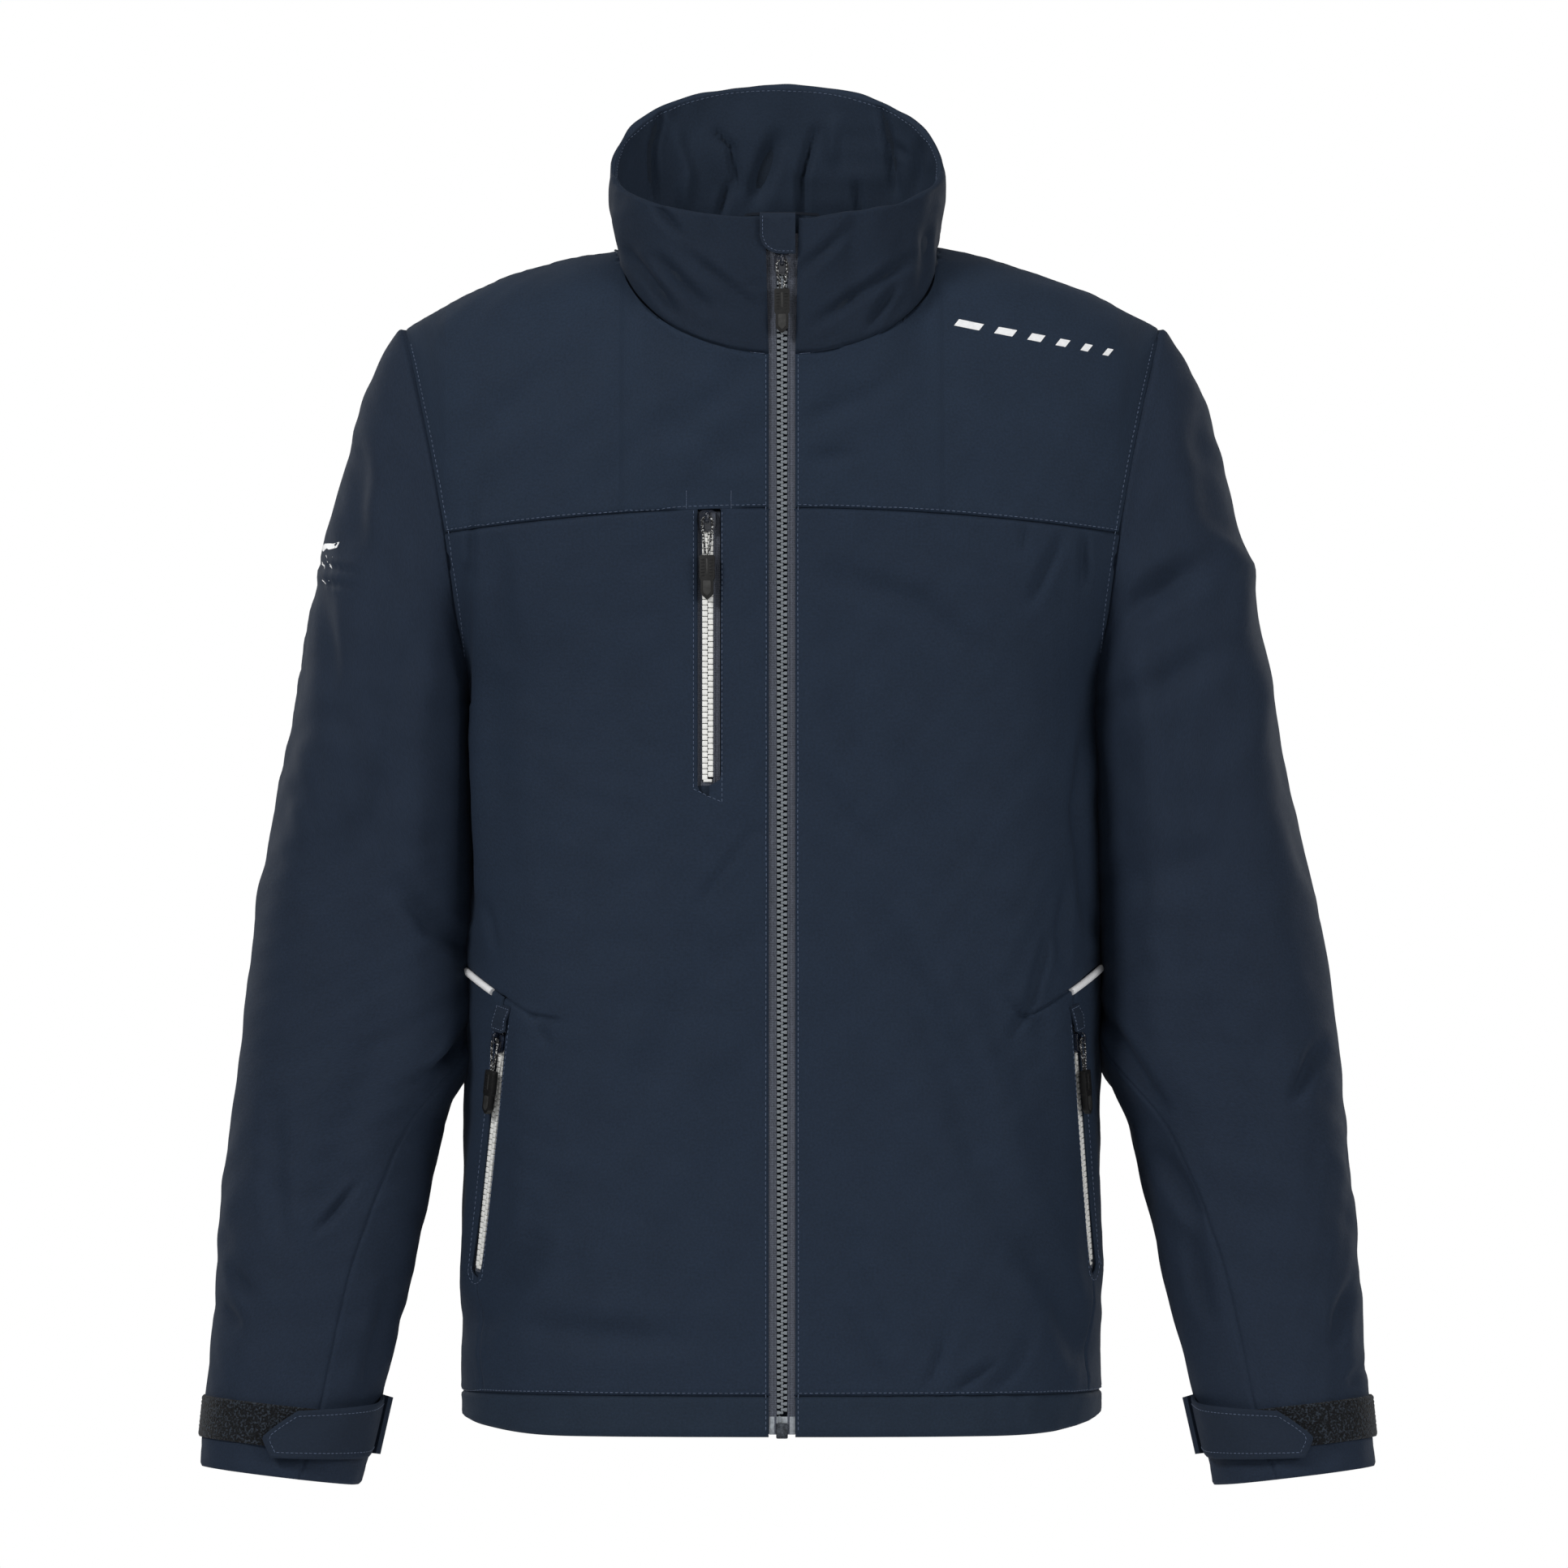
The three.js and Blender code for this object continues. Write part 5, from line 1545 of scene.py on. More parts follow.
def build_sleeve(side):
    s, points, normals = sleeve_mesh(side)
    z = CAP_RING - (s - 1) * 100
    first, second = (int(np.argmin(np.abs(z - split))) for split in (SHOULDER_SPLIT, ELBOW_SPLIT))
    upper, lower = side + "_upper_sleeve", side + "_lower_sleeve"
    pieces = []
    for name, start, stop in (
        ("sleeve_cap", 0, first), ("elbow", first, second), ("forearm", second, len(s) - 1)
    ):
        rows = slice(start, stop + 1)
        patch = points[:, rows]
        flat, quads, places = weld([patch])
        given = at_points(flat, patch.reshape(-1, 3), normals[:, rows].reshape(-1, 3))
        if np.sum(normals_of(flat, quads) * given) < 0:
            quads, places = quads[:, ::-1], places[:, ::-1]
        places = places + np.array([0, 3.0 * start])
        pieces.append(sew(side + "_" + name, flat, quads, places, SLEEVE_CLOTH, CLOTH, given))
    cap, elbow, forearm = pieces
    attach(cap, None, "shell", upper)
    hang_from_armhole(cap, SIDES[side])
    attach(elbow, None, "shell")
    start, end = (to_row([250 * SIDES[side], 0, split]) for split in (SHOULDER_SPLIT, ELBOW_SPLIT))
    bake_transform(elbow)
    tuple(start)
    attach(forearm, lower, "shell", lower)


for side in SIDES:
    build_sleeve(side)


# ---- Trims: solids --------------------------------------------------------------------------------------
SHARP_SOLID, SHARP_SHEET = math.radians(40), math.radians(50)


class Parts:
    """Collects solids, each with its material, into one object."""

    def __init__(self):
        self.points, self.faces, self.slots, self.materials = [], [], [], []
        self.count = 0

    def add(self, solid, material, places=((0, 0, 0),)):
        """The solid once at each of the places."""
        points, faces = solid
        if material not in self.materials:
            self.materials.append(material)
        for place in places:
            self.points.append(points + np.array(place, float))
            self.faces += [[self.count + i for i in face] for face in faces]
            self.slots += [self.materials.index(material)] * len(faces)
            self.count += len(points)
        return self

    def make(self, name, body, node=None, slot=None, place=None):
        points = np.concatenate(self.points)
        points = points if place is None else place(points)
        obj = make_object(name, points, self.faces, self.materials, self.slots)
        obj.data.set_sharp_from_angle(angle=SHARP_SOLID)
        return attach(obj, body, slot, *([node] if node else []))


def extruded(outline, front, back, bevel=0.3, segments=2):
    """An outline in x and z made solid from y = front to y = back, with rounded edges."""
    bm = bmesh.new()
    near = [bm.verts.new((x, front, z)) for x, z in outline]
    far = [bm.verts.new((x, back, z)) for x, z in outline]
    bm.faces.new(near)
    bm.faces.new(far[::-1])
    for i in range(len(outline)):
        j = (i + 1) % len(outline)
        bm.faces.new((near[j], near[i], far[i], far[j]))
    bmesh.ops.recalc_face_normals(bm, faces=bm.faces)
    if bevel:
        bmesh.ops.bevel(
            bm, geom=bm.edges[:], offset=bevel, segments=segments,
            affect="EDGES", profile=0.5, clamp_overlap=True,
        )
    bm.verts.index_update()
    solid = np.array([v.co[:] for v in bm.verts]), [[v.index for v in f.verts] for f in bm.faces]
    bm.free()
    return solid


def block(x, y, z, bevel=0.3):
    return extruded([(x[0], z[0]), (x[1], z[0]), (x[1], z[1]), (x[0], z[1])], y[0], y[1], bevel)


def tube(path, radius, sides=10, wide=1.0, across=(1, 0, 0)):
    """A round bar along a path, wider by a factor in the direction across."""
    path = np.asarray(path, float)
    ahead = unit(np.gradient(path, axis=0))
    side = unit(np.cross(ahead, np.cross(np.array(across, float), ahead)))
    other = np.cross(ahead, side)
    turn = np.arange(sides) * 2 * math.pi / sides
    ring = side[:, None] * (np.cos(turn) * wide)[None, :, None]
    ring = ring + other[:, None] * np.sin(turn)[None, :, None]
    points = (path[:, None] + ring * radius).reshape(-1, 3)
    faces = []
    for i in range(len(path) - 1):
        for k in range(sides):
            a, b = i * sides + k, i * sides + (k + 1) % sides
            faces.append([a, b, b + sides, a + sides])
    faces.append(list(range(sides))[::-1])
    faces.append([len(points) - sides + k for k in range(sides)])
    return points, faces


def softened(path, times=3):
    """Cuts a path's corners, keeping its ends."""
    path = np.asarray(path, float)
    for _ in range(times):
        near, far = (lerp(path[:-1], path[1:], share) for share in (0.25, 0.75))
        cut = np.stack([near, far], 1).reshape(-1, 3)
        path = np.concatenate([path[:1], cut[1:-1], path[-1:]])
    return path


def rounded(outline, radius, steps=4):
    """An outline with each corner turned into an arc."""
    outline = [np.array(p, float) for p in outline]
    result = []
    for i, p in enumerate(outline):
        before, after = outline[i - 1] - p, outline[(i + 1) % len(outline)] - p
        reach = min(radius, 0.48 * np.linalg.norm(before), 0.48 * np.linalg.norm(after))
        a, b = p + unit(before) * reach, p + unit(after) * reach
        for t in np.linspace(0, 1, steps + 1):
            result.append(tuple(lerp(lerp(a, p, t), lerp(p, b, t), t)))
    return result


def strip(name, patch, thickness, cloth, body, node=None, slot="shell", toward=None):
    """A flat piece of cloth or film as a grid of its face; toward is a point on its inner side."""
    points, quads, places = weld([patch])
    normals = normals_of(points, quads)
    if np.sum(normals * (points - np.asarray(toward, float))) < 0:
        quads, places, normals = quads[:, ::-1], places[:, ::-1], -normals
    obj = sheet_object(name, points, quads, places, normals, thickness, [cloth])
    obj.data.set_sharp_from_angle(angle=SHARP_SHEET)
    return attach(obj, body, slot, *([node] if node else []))


# ---- Stitching ------------------------------------------------------------------------------------------
STITCH_LENGTH, STITCH_PITCH, STITCH_WIDE, STITCH_HIGH = 2.3, 3.2, 0.5, 0.34
HEM_STITCHING = 26.0


def skin_tree(*names):
    points, quads, start = [], [], 0
    for name in names:
        p, q = SKINS[name]
        points.append(p)
        quads.append(q + start)
        start += len(p)
    return BVHTree.FromPolygons(np.concatenate(points).tolist(), np.concatenate(quads).tolist())


def on_skin(tree, points):
    found = [tree.find_nearest(p) for p in np.asarray(points, float).tolist()]
    return np.array([f[0][:] for f in found]), np.array([f[1][:] for f in found])


def stitches(name, lines, tree, body, pitch=STITCH_PITCH, length=STITCH_LENGTH, slot="shell"):
    """A row of thread dashes along each line, lying on the cloth."""
    starts, ends = [], []
    for line in lines:
        line = resample(line, pitch)
        for a, b in zip(line[:-1], line[1:]):
            starts.append(a)
            ends.append(a + (b - a) * length / max(np.linalg.norm(b - a), pitch))
    starts, up = on_skin(tree, starts)
    ends, _ = on_skin(tree, ends)
    across = unit(np.cross(up, ends - starts)) * STITCH_WIDE / 2
    sections = ((0, 0.3, -0.25), (0.16, 0.85, 0.6), (0.5, 1, 1), (0.84, 0.85, 0.6), (1, 0.3, -0.25))
    rows = []
    for along, wide, high in sections:
        centre = lerp(starts, ends, along)
        top = up * STITCH_HIGH * high
        base = up * -0.12
        rows.append(
            np.stack([centre - across * wide + base, centre - across * wide * 0.55 + top,
                      centre + across * wide * 0.55 + top, centre + across * wide + base], 1)
        )
    points = np.stack(rows, 1).reshape(-1, 3)
    quads = []
    for i in range(len(sections) - 1):
        quads += [[i * 4 + k, i * 4 + k + 4, i * 4 + k + 5, i * 4 + k + 1] for k in range(3)]
        quads.append([i * 4 + 3, i * 4 + 7, i * 4 + 4, i * 4])
    quads += [[0, 1, 2, 3], [19, 18, 17, 16]]
    every = (np.arange(len(starts))[:, None, None] * 20 + np.array(quads)[None]).reshape(-1, 4)
    attach(make_object(name, points, every, [THREAD]), body, slot)


def side_stitching(side, sign):
    """Topstitching on one side: front edge, yoke, armhole, pocket, hem and side seam."""
    x = sign * (ZIP_EDGE + 1.7)
    lines = [[[x, -front_depth(z), z] for z in np.linspace(4, 725, 60)]]
    xs = sign * np.linspace(ZIP_EDGE + 1.5, 203, 40)
    lines.append([on_front(x, yoke_seam_z(x) + 2.0) for x in xs])
    for surface in (front_y, back_y):
        row = []
        for z in np.linspace(UNDERARM + 4, TIP_Z - 8, 30):
            x = armhole_x(z) - 2.6
            row.append([sign * x, float(surface(x, z)), z])
        lines.append(row)
    line = ZIPS[side + "_hand"]
    aside = 8.2
    for edge in (-aside, aside):
        lines.append(line.place([[edge, 0, -3], [edge, 0, line.length + 2]]))
    lines.append(line.place([[-aside, 0, -3], [-5, 0, -7], [0, 0, -8.5], [5, 0, -7], [aside, 0, -3]]))
    angles = np.linspace(float(angle_at(ZIP_EDGE + 2, HEM_STITCHING)), math.pi / 2, 60)
    lines.append(mirrored(body_point(angles, HEM_STITCHING + 0.2), side))
    lines.append(mirrored(body_point(SIDE_BACK + 0.012, np.linspace(28, 288, 20)), side))
    return lines


def body_stitching():
    """Topstitching on the panels, yokes and collar."""
    names = ["back_cloth", "back_hem_cloth", "back_yoke_cloth"]
    fronts = ("_front_cloth", "_side_cloth", "_hem_cloth", "_yoke_cloth")
    tree = skin_tree(*names, *(side + part for side in SIDES for part in fronts))
    lines = []
    for side, sign in SIDES.items():
        lines += side_stitching(side, sign)
    lines.append(body_point(np.linspace(math.pi / 2, 1.5 * math.pi, 90), HEM_STITCHING + 0.2))
    z = BACK_YOKE_SEAM + 2
    lines.append([[x, float(back_y(x, z)), z] for x in np.linspace(-222, 222, 60)])
    pocket = [(-53.2, 556), (-53.2, 388.5), (-36, 380.5), (-36, 556)]
    for a, b in zip(pocket[:-1], pocket[1:]):
        lines.append([on_front(lerp(a[0], b[0], t), lerp(a[1], b[1], t)) for t in np.linspace(0, 1, 12)])
    stitches("body_stitching", lines, tree, "jacket")
    tacks = (
        [(-57.5, 557), (-57.5, 568)],
        [(-30.5, 557), (-30.5, 568)],
        [(-186, 92), (-186, 100)],
        [(191, 101), (190, 108)],
    )
    tacks = [[on_front(*a), on_front(*b)] for a, b in tacks]
    stitches("bartacks", tacks, tree, "jacket", pitch=1.1, length=1.0)
    angles = collar_angles()[2:-2]
    inner = collar_face(angles, np.full(len(angles), 0.985)) * np.array([0.965, 0.965, 1])
    inner = inner + np.array([0, -1, 0])
    tree = skin_tree("collar_inner_cloth")
    stitches("collar_facing_stitching", [inner], tree, "jacket", slot="lining")


# ---- Zips -----------------------------------------------------------------------------------------------
TOOTH_PITCH, POCKET_PITCH = 3.54, 3.4
MAIN_TOOTH = [
    (3.1, -1.15), (1.5, -1.1), (0.8, -0.62), (0.5, -0.84), (-0.4, -0.84), (-0.75, -0.45),
    (-0.75, 0.45), (-0.4, 0.84), (0.5, 0.84), (0.8, 0.62), (1.5, 1.1), (3.1, 1.15),
]
POCKET_TOOTH = [(3.25, -1.5), (0.5, -1.5), (0.12, -1.15), (0.12, 1.15), (0.5, 1.5), (3.25, 1.5)]
PIVOT_Y, PIVOT_Z = -3.25, 2.2
CORD_THICK, CORD_BEND, CORD_SPREAD = 1.5, 3.1, 1.25
GRIP_LENGTH, GRIP_HALF, GRIP_TIP, GRIP_STEP = 27, 4.6, 3.8, 14


def turned(outline, sign):
    return outline if sign > 0 else [(-x, z) for x, z in outline][::-1]


def tape_side(parts, sign, low, high, outer, sunk):
    """One side's woven tape, with the corded edge that the teeth are moulded on."""
    xs = sorted((sign * 3.3, sign * outer))
    rows = np.linspace(low, high, max(2, int((high - low) / 24)))
    parts.add(block(xs, (2.7 + sunk, 3.4 + sunk), (low, high), 0.12), TAPE)
    cord = np.array([[sign * 3.95, 2.85 + sunk, z] for z in rows])
    parts.add(tube(cord, 0.78, 8), TAPE)


def teeth_row(parts, sign, low, high, outline, material, pitch, bevel):
    first = low + (0.5 if sign < 0 else 1.0) * pitch
    places = [(0, 0, z) for z in np.arange(first, high, pitch)]
    parts.add(extruded(turned(outline, sign), 1.75, 4.4, bevel), material, places)


def slider(name, zip_line, parked, node, body):
    """The slider's body with its flanges, crown and bridge."""
    half, long = 4.9, 6.5
    face = rounded([
        (-3.5, -long), (3.5, -long), (half, -long + 3), (half, long - 2),
        (3.4, long), (-3.4, long), (-half, long - 2), (-half, -long + 3),
    ], 1.4)
    crown = rounded([
        (-2.6, -long + 1), (2.6, -long + 1), (3.3, 1.5),
        (2.2, long - 0.9), (-2.2, long - 0.9), (-3.3, 1.5),
    ], 1.0)
    rise = [(-0.4, -0.8), (-3.4, -0.9), (-5.0, 0.2), (-5.1, 2.4), (-4.9, 4.4), (-3.2, 5.2), (-0.4, 5.0)]
    bridge = softened([[0, y, z] for y, z in rise], 2)
    parts = Parts()
    parts.add(extruded(face, -0.7, 0.95, 0.55, 3), ENAMEL)
    parts.add(extruded(crown, -1.2, -0.3, 0.4, 3), ENAMEL)
    for sign in (-1, 1):
        xs = sorted((sign * 3.5, sign * half))
        parts.add(block(xs, (0.5, 2.35), (-long + 2.4, long - 1.8), 0.4), ENAMEL)
    parts.add(tube(bridge, 0.72, 10, 1.6), ENAMEL)
    parts.make(name, body, node, "slider_metal", lambda p: zip_line.place(p + np.array([0, 0, parked])))


def symmetric(half):
    """An outline from its right half, which starts away from the middle."""
    return [(-x, z) for x, z in half] + [(x, z) for x, z in half[::-1] if x]


def pull_cord(name, zip_line, parked, reach, body):
    """A loop of braid from the grip up through the slider's bridge and down again."""
    half = [
        (CORD_SPREAD, 0.3 - reach),
        (CORD_SPREAD + 0.1, 3.6 - reach),
        (CORD_BEND * 0.86, -9),
        (CORD_BEND, -4.6),
    ]
    side = [[x, PIVOT_Y, PIVOT_Z + z] for x, z in half]
    arc = [[CORD_BEND * math.cos(a), PIVOT_Y, PIVOT_Z - CORD_BEND + CORD_BEND * math.sin(a)]
           for a in np.linspace(math.pi, 0, 13)]
    route = [[-x, y, z] for x, y, z in side] + arc + side[::-1]
    route = resample(softened(route, 2), 0.7) + np.array([0, 0, parked])
    route = to_row(zip_line.place(route))
    curve = bpy.data.curves.new(name + "_cord", "CURVE")
    curve.dimensions = "3D"
    curve.bevel_depth = CORD_THICK / 2 * MM
    curve.bevel_resolution = 3
    curve.use_fill_caps = True
    spline = curve.splines.new("POLY")
    spline.points.add(len(route) - 1)
    spline.points.foreach_set("co", np.concatenate([route, np.ones((len(route), 1))], 1).ravel())
    curve.materials.append(BRAID)
    cord = bpy.data.objects.new(name + "_cord", curve)
    bpy.context.scene.collection.objects.link(cord)
    attach(cord, body, "pull_cord", name + "_pull_cord")
    length = float(steps_along(route)[-1])
    tuple(route[0])


def pull_grip(name, zip_line, top, body):
    """A moulded grip with a grey panel, a bar and cross ribs on its face."""
    outline = symmetric([
        (GRIP_HALF, 0),
        (GRIP_HALF, -GRIP_STEP),
        (GRIP_TIP, -GRIP_STEP - 1),
        (GRIP_TIP, 3.5 - GRIP_LENGTH),
        (0, -GRIP_LENGTH),
    ])
    inset = symmetric([(2.3, -GRIP_STEP - 1.4), (2.3, 4.6 - GRIP_LENGTH), (0, 2.2 - GRIP_LENGTH)])
    grip = Parts()
    grip.add(extruded(rounded(outline, 1.2, 3), -5.2, -1.6, 0.8, 3), RUBBER)
    grip.add(extruded(rounded(inset, 0.7, 3), -5.5, -4.6, 0.3), RUBBER_GREY)
    grip.add(block((-0.5, 0.5), (-5.42, -4.8), (-11.6, -2.2), 0.22), RUBBER_GREY)
    for z in np.arange(-12.6, -1.4, 1.9):
        for sign in (-1, 1):
            xs = sorted((sign * 1.5, sign * 3.7))
            grip.add(block(xs, (-5.5, -4.9), (z, z + 0.75), 0.2), RUBBER)
    grip.make(name + "_grip", body, name + "_pull_grip", "pull_grip",
              lambda p: zip_line.place(p + np.array([0, 0, top])))


def pull(name, zip_line, parked, reach, body):
    pull_cord(name, zip_line, parked, reach, body)
    pull_grip(name, zip_line, PIVOT_Z - reach + parked, body)


def main_zip():
    line = ZIPS["main"]
    top = line.length - 3
    for side, sign in SIDES.items():
        tape = Parts()
        tape_side(tape, sign, 2, top + 2, 14, 0)
        tape.make(side + "_main_zip_tape", "jacket", side + "_main_tape", "zip_tape", line.place)
        teeth = Parts()
        teeth_row(teeth, sign, 13, top, MAIN_TOOTH, TEETH_GREY, TOOTH_PITCH, 0.24)
        teeth.make(side + "_main_zip_teeth", "jacket", side + "_main_teeth", "main_zip_teeth", line.place)
    slider("main_zip_slider", line, MAIN_PARKED, "main_slider", "main_slider")
    pull("main", line, MAIN_PARKED, 17.5, "main_pull")
    ends = Parts()
    ends.add(block((-7.7, 7.9), (2.45, 2.72), (1.6, 12.4), 0.1), FILM)
    ends.make("zip_end_film", "jacket", None, "zip_tape", line.place)
    box = Parts()
    face = rounded([(-3.5, -0.8), (3.5, -0.8), (3.5, BOX_TOP), (-3.5, BOX_TOP)], 0.8)
    box.add(extruded(face, 0.9, 2.3, 0.35, 3), CHROME)
    box.add(block((-2.9, 2.9), (2.1, 5), (-0.8, BOX_TOP), 0.4), CHROME)
    box.add(block((-2.2, 2.2), (0.55, 1.2), (1.0, 1.9), 0.2), CHROME, [(0, 0, 0), (0, 0, 4.6)])
    box.make("main_zip_box", "jacket", "main_retainer_box", "slider_metal", line.place)
    pin = Parts()
    foot = BOX_TOP + 0.3
    shape = rounded([(-2.6, foot), (-0.4, foot), (-0.4, 12.4), (-1.5, 13), (-2.6, 12.4)], 0.4)
    pin.add(extruded(shape, 1.8, 4.2, 0.3), TEETH_GREY)
    pin.make("main_zip_pin", "jacket", "main_insertion_pin", "main_zip_teeth", line.place)


def pocket_zip(name, node, outer, reach, parked):
    line = ZIPS[name]
    low, high = 2, line.length - 1
    tape = Parts()
    for sign in (-1, 1):
        tape_side(tape, sign, low - 5, high, outer, 0.6)
    tape.add(block((-4.3, 4.3), (3.2, 4.1), (low - 5, low - 1), 0.2), TAPE)
    tape.add(block((-2.6, 2.6), (1.9, 4.2), (low - 1.2, low + 0.6), 0.3), TEETH_WHITE)
    tape.add(block((-8, 8), (2.6, 3.3), (low - 15, low - 3.4), 0.2), TRIM_CLOTH)
    tape.make(name + "_zip_tape", "jacket", node + "_tape", "zip_tape", line.place)
    teeth = Parts()
    for sign in (-1, 1):
        teeth_row(teeth, sign, low, high - 1, POCKET_TOOTH, TEETH_WHITE, POCKET_PITCH, 0.35)
    teeth.make(name + "_zip_teeth", "jacket", node + "_teeth", "pocket_zip_teeth", line.place)
    slider(name + "_zip_slider", line, parked, node + "_slider", node + "_slider")
    pull(name, line, parked, reach, node + "_pull")


CHIN_TOP = 733.0
CHIN_FOLD = 13  # length of cloth in the fold, and again behind it


def chin_edge(x, above, rise, radius):
    """The chin guard's lower edge, rounded up at its outer corner."""
    out = np.clip(-1 - x, 0, radius) / radius
    return MAIN_PARKED + above + rise * (1 - np.sqrt(np.clip(1 - out**2, 0, 1)))


def chin_flap():
    """The folded tab over the top of the main zip."""
    line = ZIPS["main"]

    def chin(u, v):
        x = lerp(-13.4, 8.0, u)
        low = chin_edge(x, 6, 11, 12)
        straight = CHIN_TOP - low
        along = v * (straight + CHIN_FOLD + CHIN_FOLD)
        past = along - straight
        a = np.clip(past / CHIN_FOLD, 0, 1) * math.pi
        y = np.where(past < 0, -2.2 + 0.4 * np.sin(x * 0.4 + along * 0.3), 2.4 - 4.6 * np.cos(a))
        z = np.where(past < 0, low + along, CHIN_TOP + 4.0 * np.sin(a))
        z = np.where(past > CHIN_FOLD, CHIN_TOP - (past - CHIN_FOLD), z)
        return line.place(np.stack([x, y, z], -1))

    patch = grid(np.linspace(0, 1, 26), np.linspace(0, 1, 46), chin)
    inner = line.place([-2, 3, 722])
    strip("chin_flap", patch, 1.1, TRIM_SHEET, "jacket", "zip_garage", "shell", inner)
    rise = [[-11.7, -2.4, z] for z in np.linspace(735, MAIN_PARKED + 17, 8)]
    edge = [[x, -2.4, float(chin_edge(x, 7.6, 9.6, 10.6))] for x in np.linspace(-11.6, 7.4, 24)]
    tree = skin_tree("chin_flap")
    stitches("chin_flap_stitching", [line.place(rise + edge)], tree, "jacket", pitch=2.4, length=1.8)


def pocket_flap(side):
    """The small tab over the slider of a hand pocket's zip."""
    line = ZIPS[side + "_hand"]
    at = line.length

    def cover(u, v):
        x = lerp(-7.6, 7.6, u)
        z = at + lerp(-5 + 1.6 * (2 * u - 1) ** 4, 11.5, v)
        rise = 2.9 * (1 - smooth((v - 0.35) / 0.6)) + 0.45
        y = -rise * (1 - 0.35 * np.abs(2 * u - 1) ** 3) - 0.25 * np.sin(v * 9 + u * 3)
        return line.place(np.stack([x, y, z], -1))

    name = side + "_pocket_flap"
    patch = grid(np.linspace(0, 1, 20), np.linspace(0, 1, 22), cover)
    strip(name, patch, 1.2, TRIM_SHEET, "jacket", side + "_hand_garage", "shell", line.place([0, 6, at]))
    border = [[x, -3, at + z] for x, z in ((-6.3, 10.5), (-6.3, -3.2), (6.3, -3.2), (6.3, 10.5))]
    rows = [line.place(border[i:i + 2]) for i in range(3)]
    rows.append(line.place([[-7, -1, at + 10], [7, -1, at + 10]]))
    stitches(name + "_stitching", rows, skin_tree(name), "jacket", pitch=2.4, length=1.8)


def piping():
    """The reflective piping in the seam above each hand pocket."""
    for side in SIDES:
        angles = np.linspace(float(angle_at(174.0, 268.0)), SIDE_BACK, 70)
        line = mirrored(body_point(angles, side_seam_z(angles)), side)
        out = unit(np.stack([line[:, 0], line[:, 1] + 10, 0 * angles], -1))
        line = line + out * 0.5 - np.array([0, 0, 1.4])
        parts = Parts().add(tube(line, 2.2, 12, 1.0, (0, 0, 1)), REFLECTIVE)
        parts.make(side + "_piping_cord", "jacket", side + "_piping", "reflective")


BAR_LENGTHS, BAR_GAP = (15, 11, 8, 6, 4.5, 3.5), 9.0
SLEEVE_BARS = ((531, 534.5, -0.1), (523, 526.5, 0.1), (515, 518.5, 0.28))  # heights, and where it starts
SLEEVE_BARS_END = 0.5
FILM_ABOVE, FILM_THICK = 0.22, 0.35


def film_patch(tree, corners):
    """A thin film over four corners, laid on the cloth."""
    a, b, c, d = (np.array(p, float) for p in corners)
    us, vs = np.linspace(0, 1, 9), np.linspace(0, 1, 4)
    flat = np.array([[lerp(lerp(a, b, u), lerp(d, c, u), v) for v in vs] for u in us])
    on, up = on_skin(tree, flat.reshape(-1, 3))
    points, quads, _ = weld([(on + up * FILM_ABOVE).reshape(flat.shape)])
    if np.sum(normals_of(points, quads) @ up.mean(0)) < 0:
        quads = quads[:, ::-1]
    everything, back, rims = sheet_faces(points, quads, normals_of(points, quads), FILM_THICK)
    return everything, [list(map(int, f)) for f in np.concatenate([quads, back, rims])]


def shoulder_bars():
    """A falling row of plain slanted bars of reflective film, each shorter than the last."""
    tree = skin_tree("left_yoke_cloth")
    parts = Parts()
    for k, long in enumerate(BAR_LENGTHS):
        start = 104 + sum(BAR_LENGTHS[:k]) + BAR_GAP * k
        corners = []
        for u, v in ((0, 0), (1, 0), (1, 1), (0, 1)):
            x = start + u * long + v * 3
            corners.append(on_front(x, 671 - 0.2 * (x - 103) + lerp(-2.2, 2.2, v)))
        parts.add(film_patch(tree, corners), REFLECTIVE)
    parts.make("shoulder_bars", "jacket", "shoulder_transfer", "reflective")


def sleeve_bars():
    """Three plain bars of reflective film one above the other on the right sleeve."""
    tree = skin_tree("right_sleeve_cap")
    parts = Parts()
    for low, high, first in SLEEVE_BARS:
        corners = []
        for z, angle in ((low, first), (low, SLEEVE_BARS_END), (high, SLEEVE_BARS_END), (high, first)):
            s = (TIP_Z - z) / (TIP_Z - CAP_RING)
            p = mirrored(sleeve_point("right", np.array(angle), np.array(s)), "right")
            corners.append([p[0], p[1], z])
        parts.add(film_patch(tree, corners), REFLECTIVE)
    bars = parts.make("sleeve_bars", None, "sleeve_transfer", "reflective")
    hang_from_armhole(bars, SIDES["right"])


# ---- Cuffs ----------------------------------------------------------------------------------------------
# Each piece runs between two angles round the cuff; low and high are its edges' heights at either one.
STRIP = {"angles": (-2.2, 1.9), "low": (-8.5, -8.5), "high": (16.5, 16.5)}
PATCH = {"angles": (1.5, 1.88), "low": (-10.5, -8.5), "high": (7.5, 11)}
TAB = {"angles": (3.05, 1.35), "low": (-7, -16), "high": (28, 11.5)}
ROOT = {"angles": (2.98, 3.15), "low": (-6.4, -6.4), "high": (27.4, 27.4)}
TAB_STAND = 6.9
CUFF_RADIUS = 54.0


def no_cut(v):
    return 0 * v


def tab_cut(v):
    """How far the tab's end falls short of its point, as an angle round the cuff."""
    short = np.where(v > 0.44, (v - 0.44) / 0.56 * 16.7, (0.44 - v) / 0.44 * 7.5)
    return (np.sqrt(short**2 + 2) - math.sqrt(2)) / CUFF_RADIUS


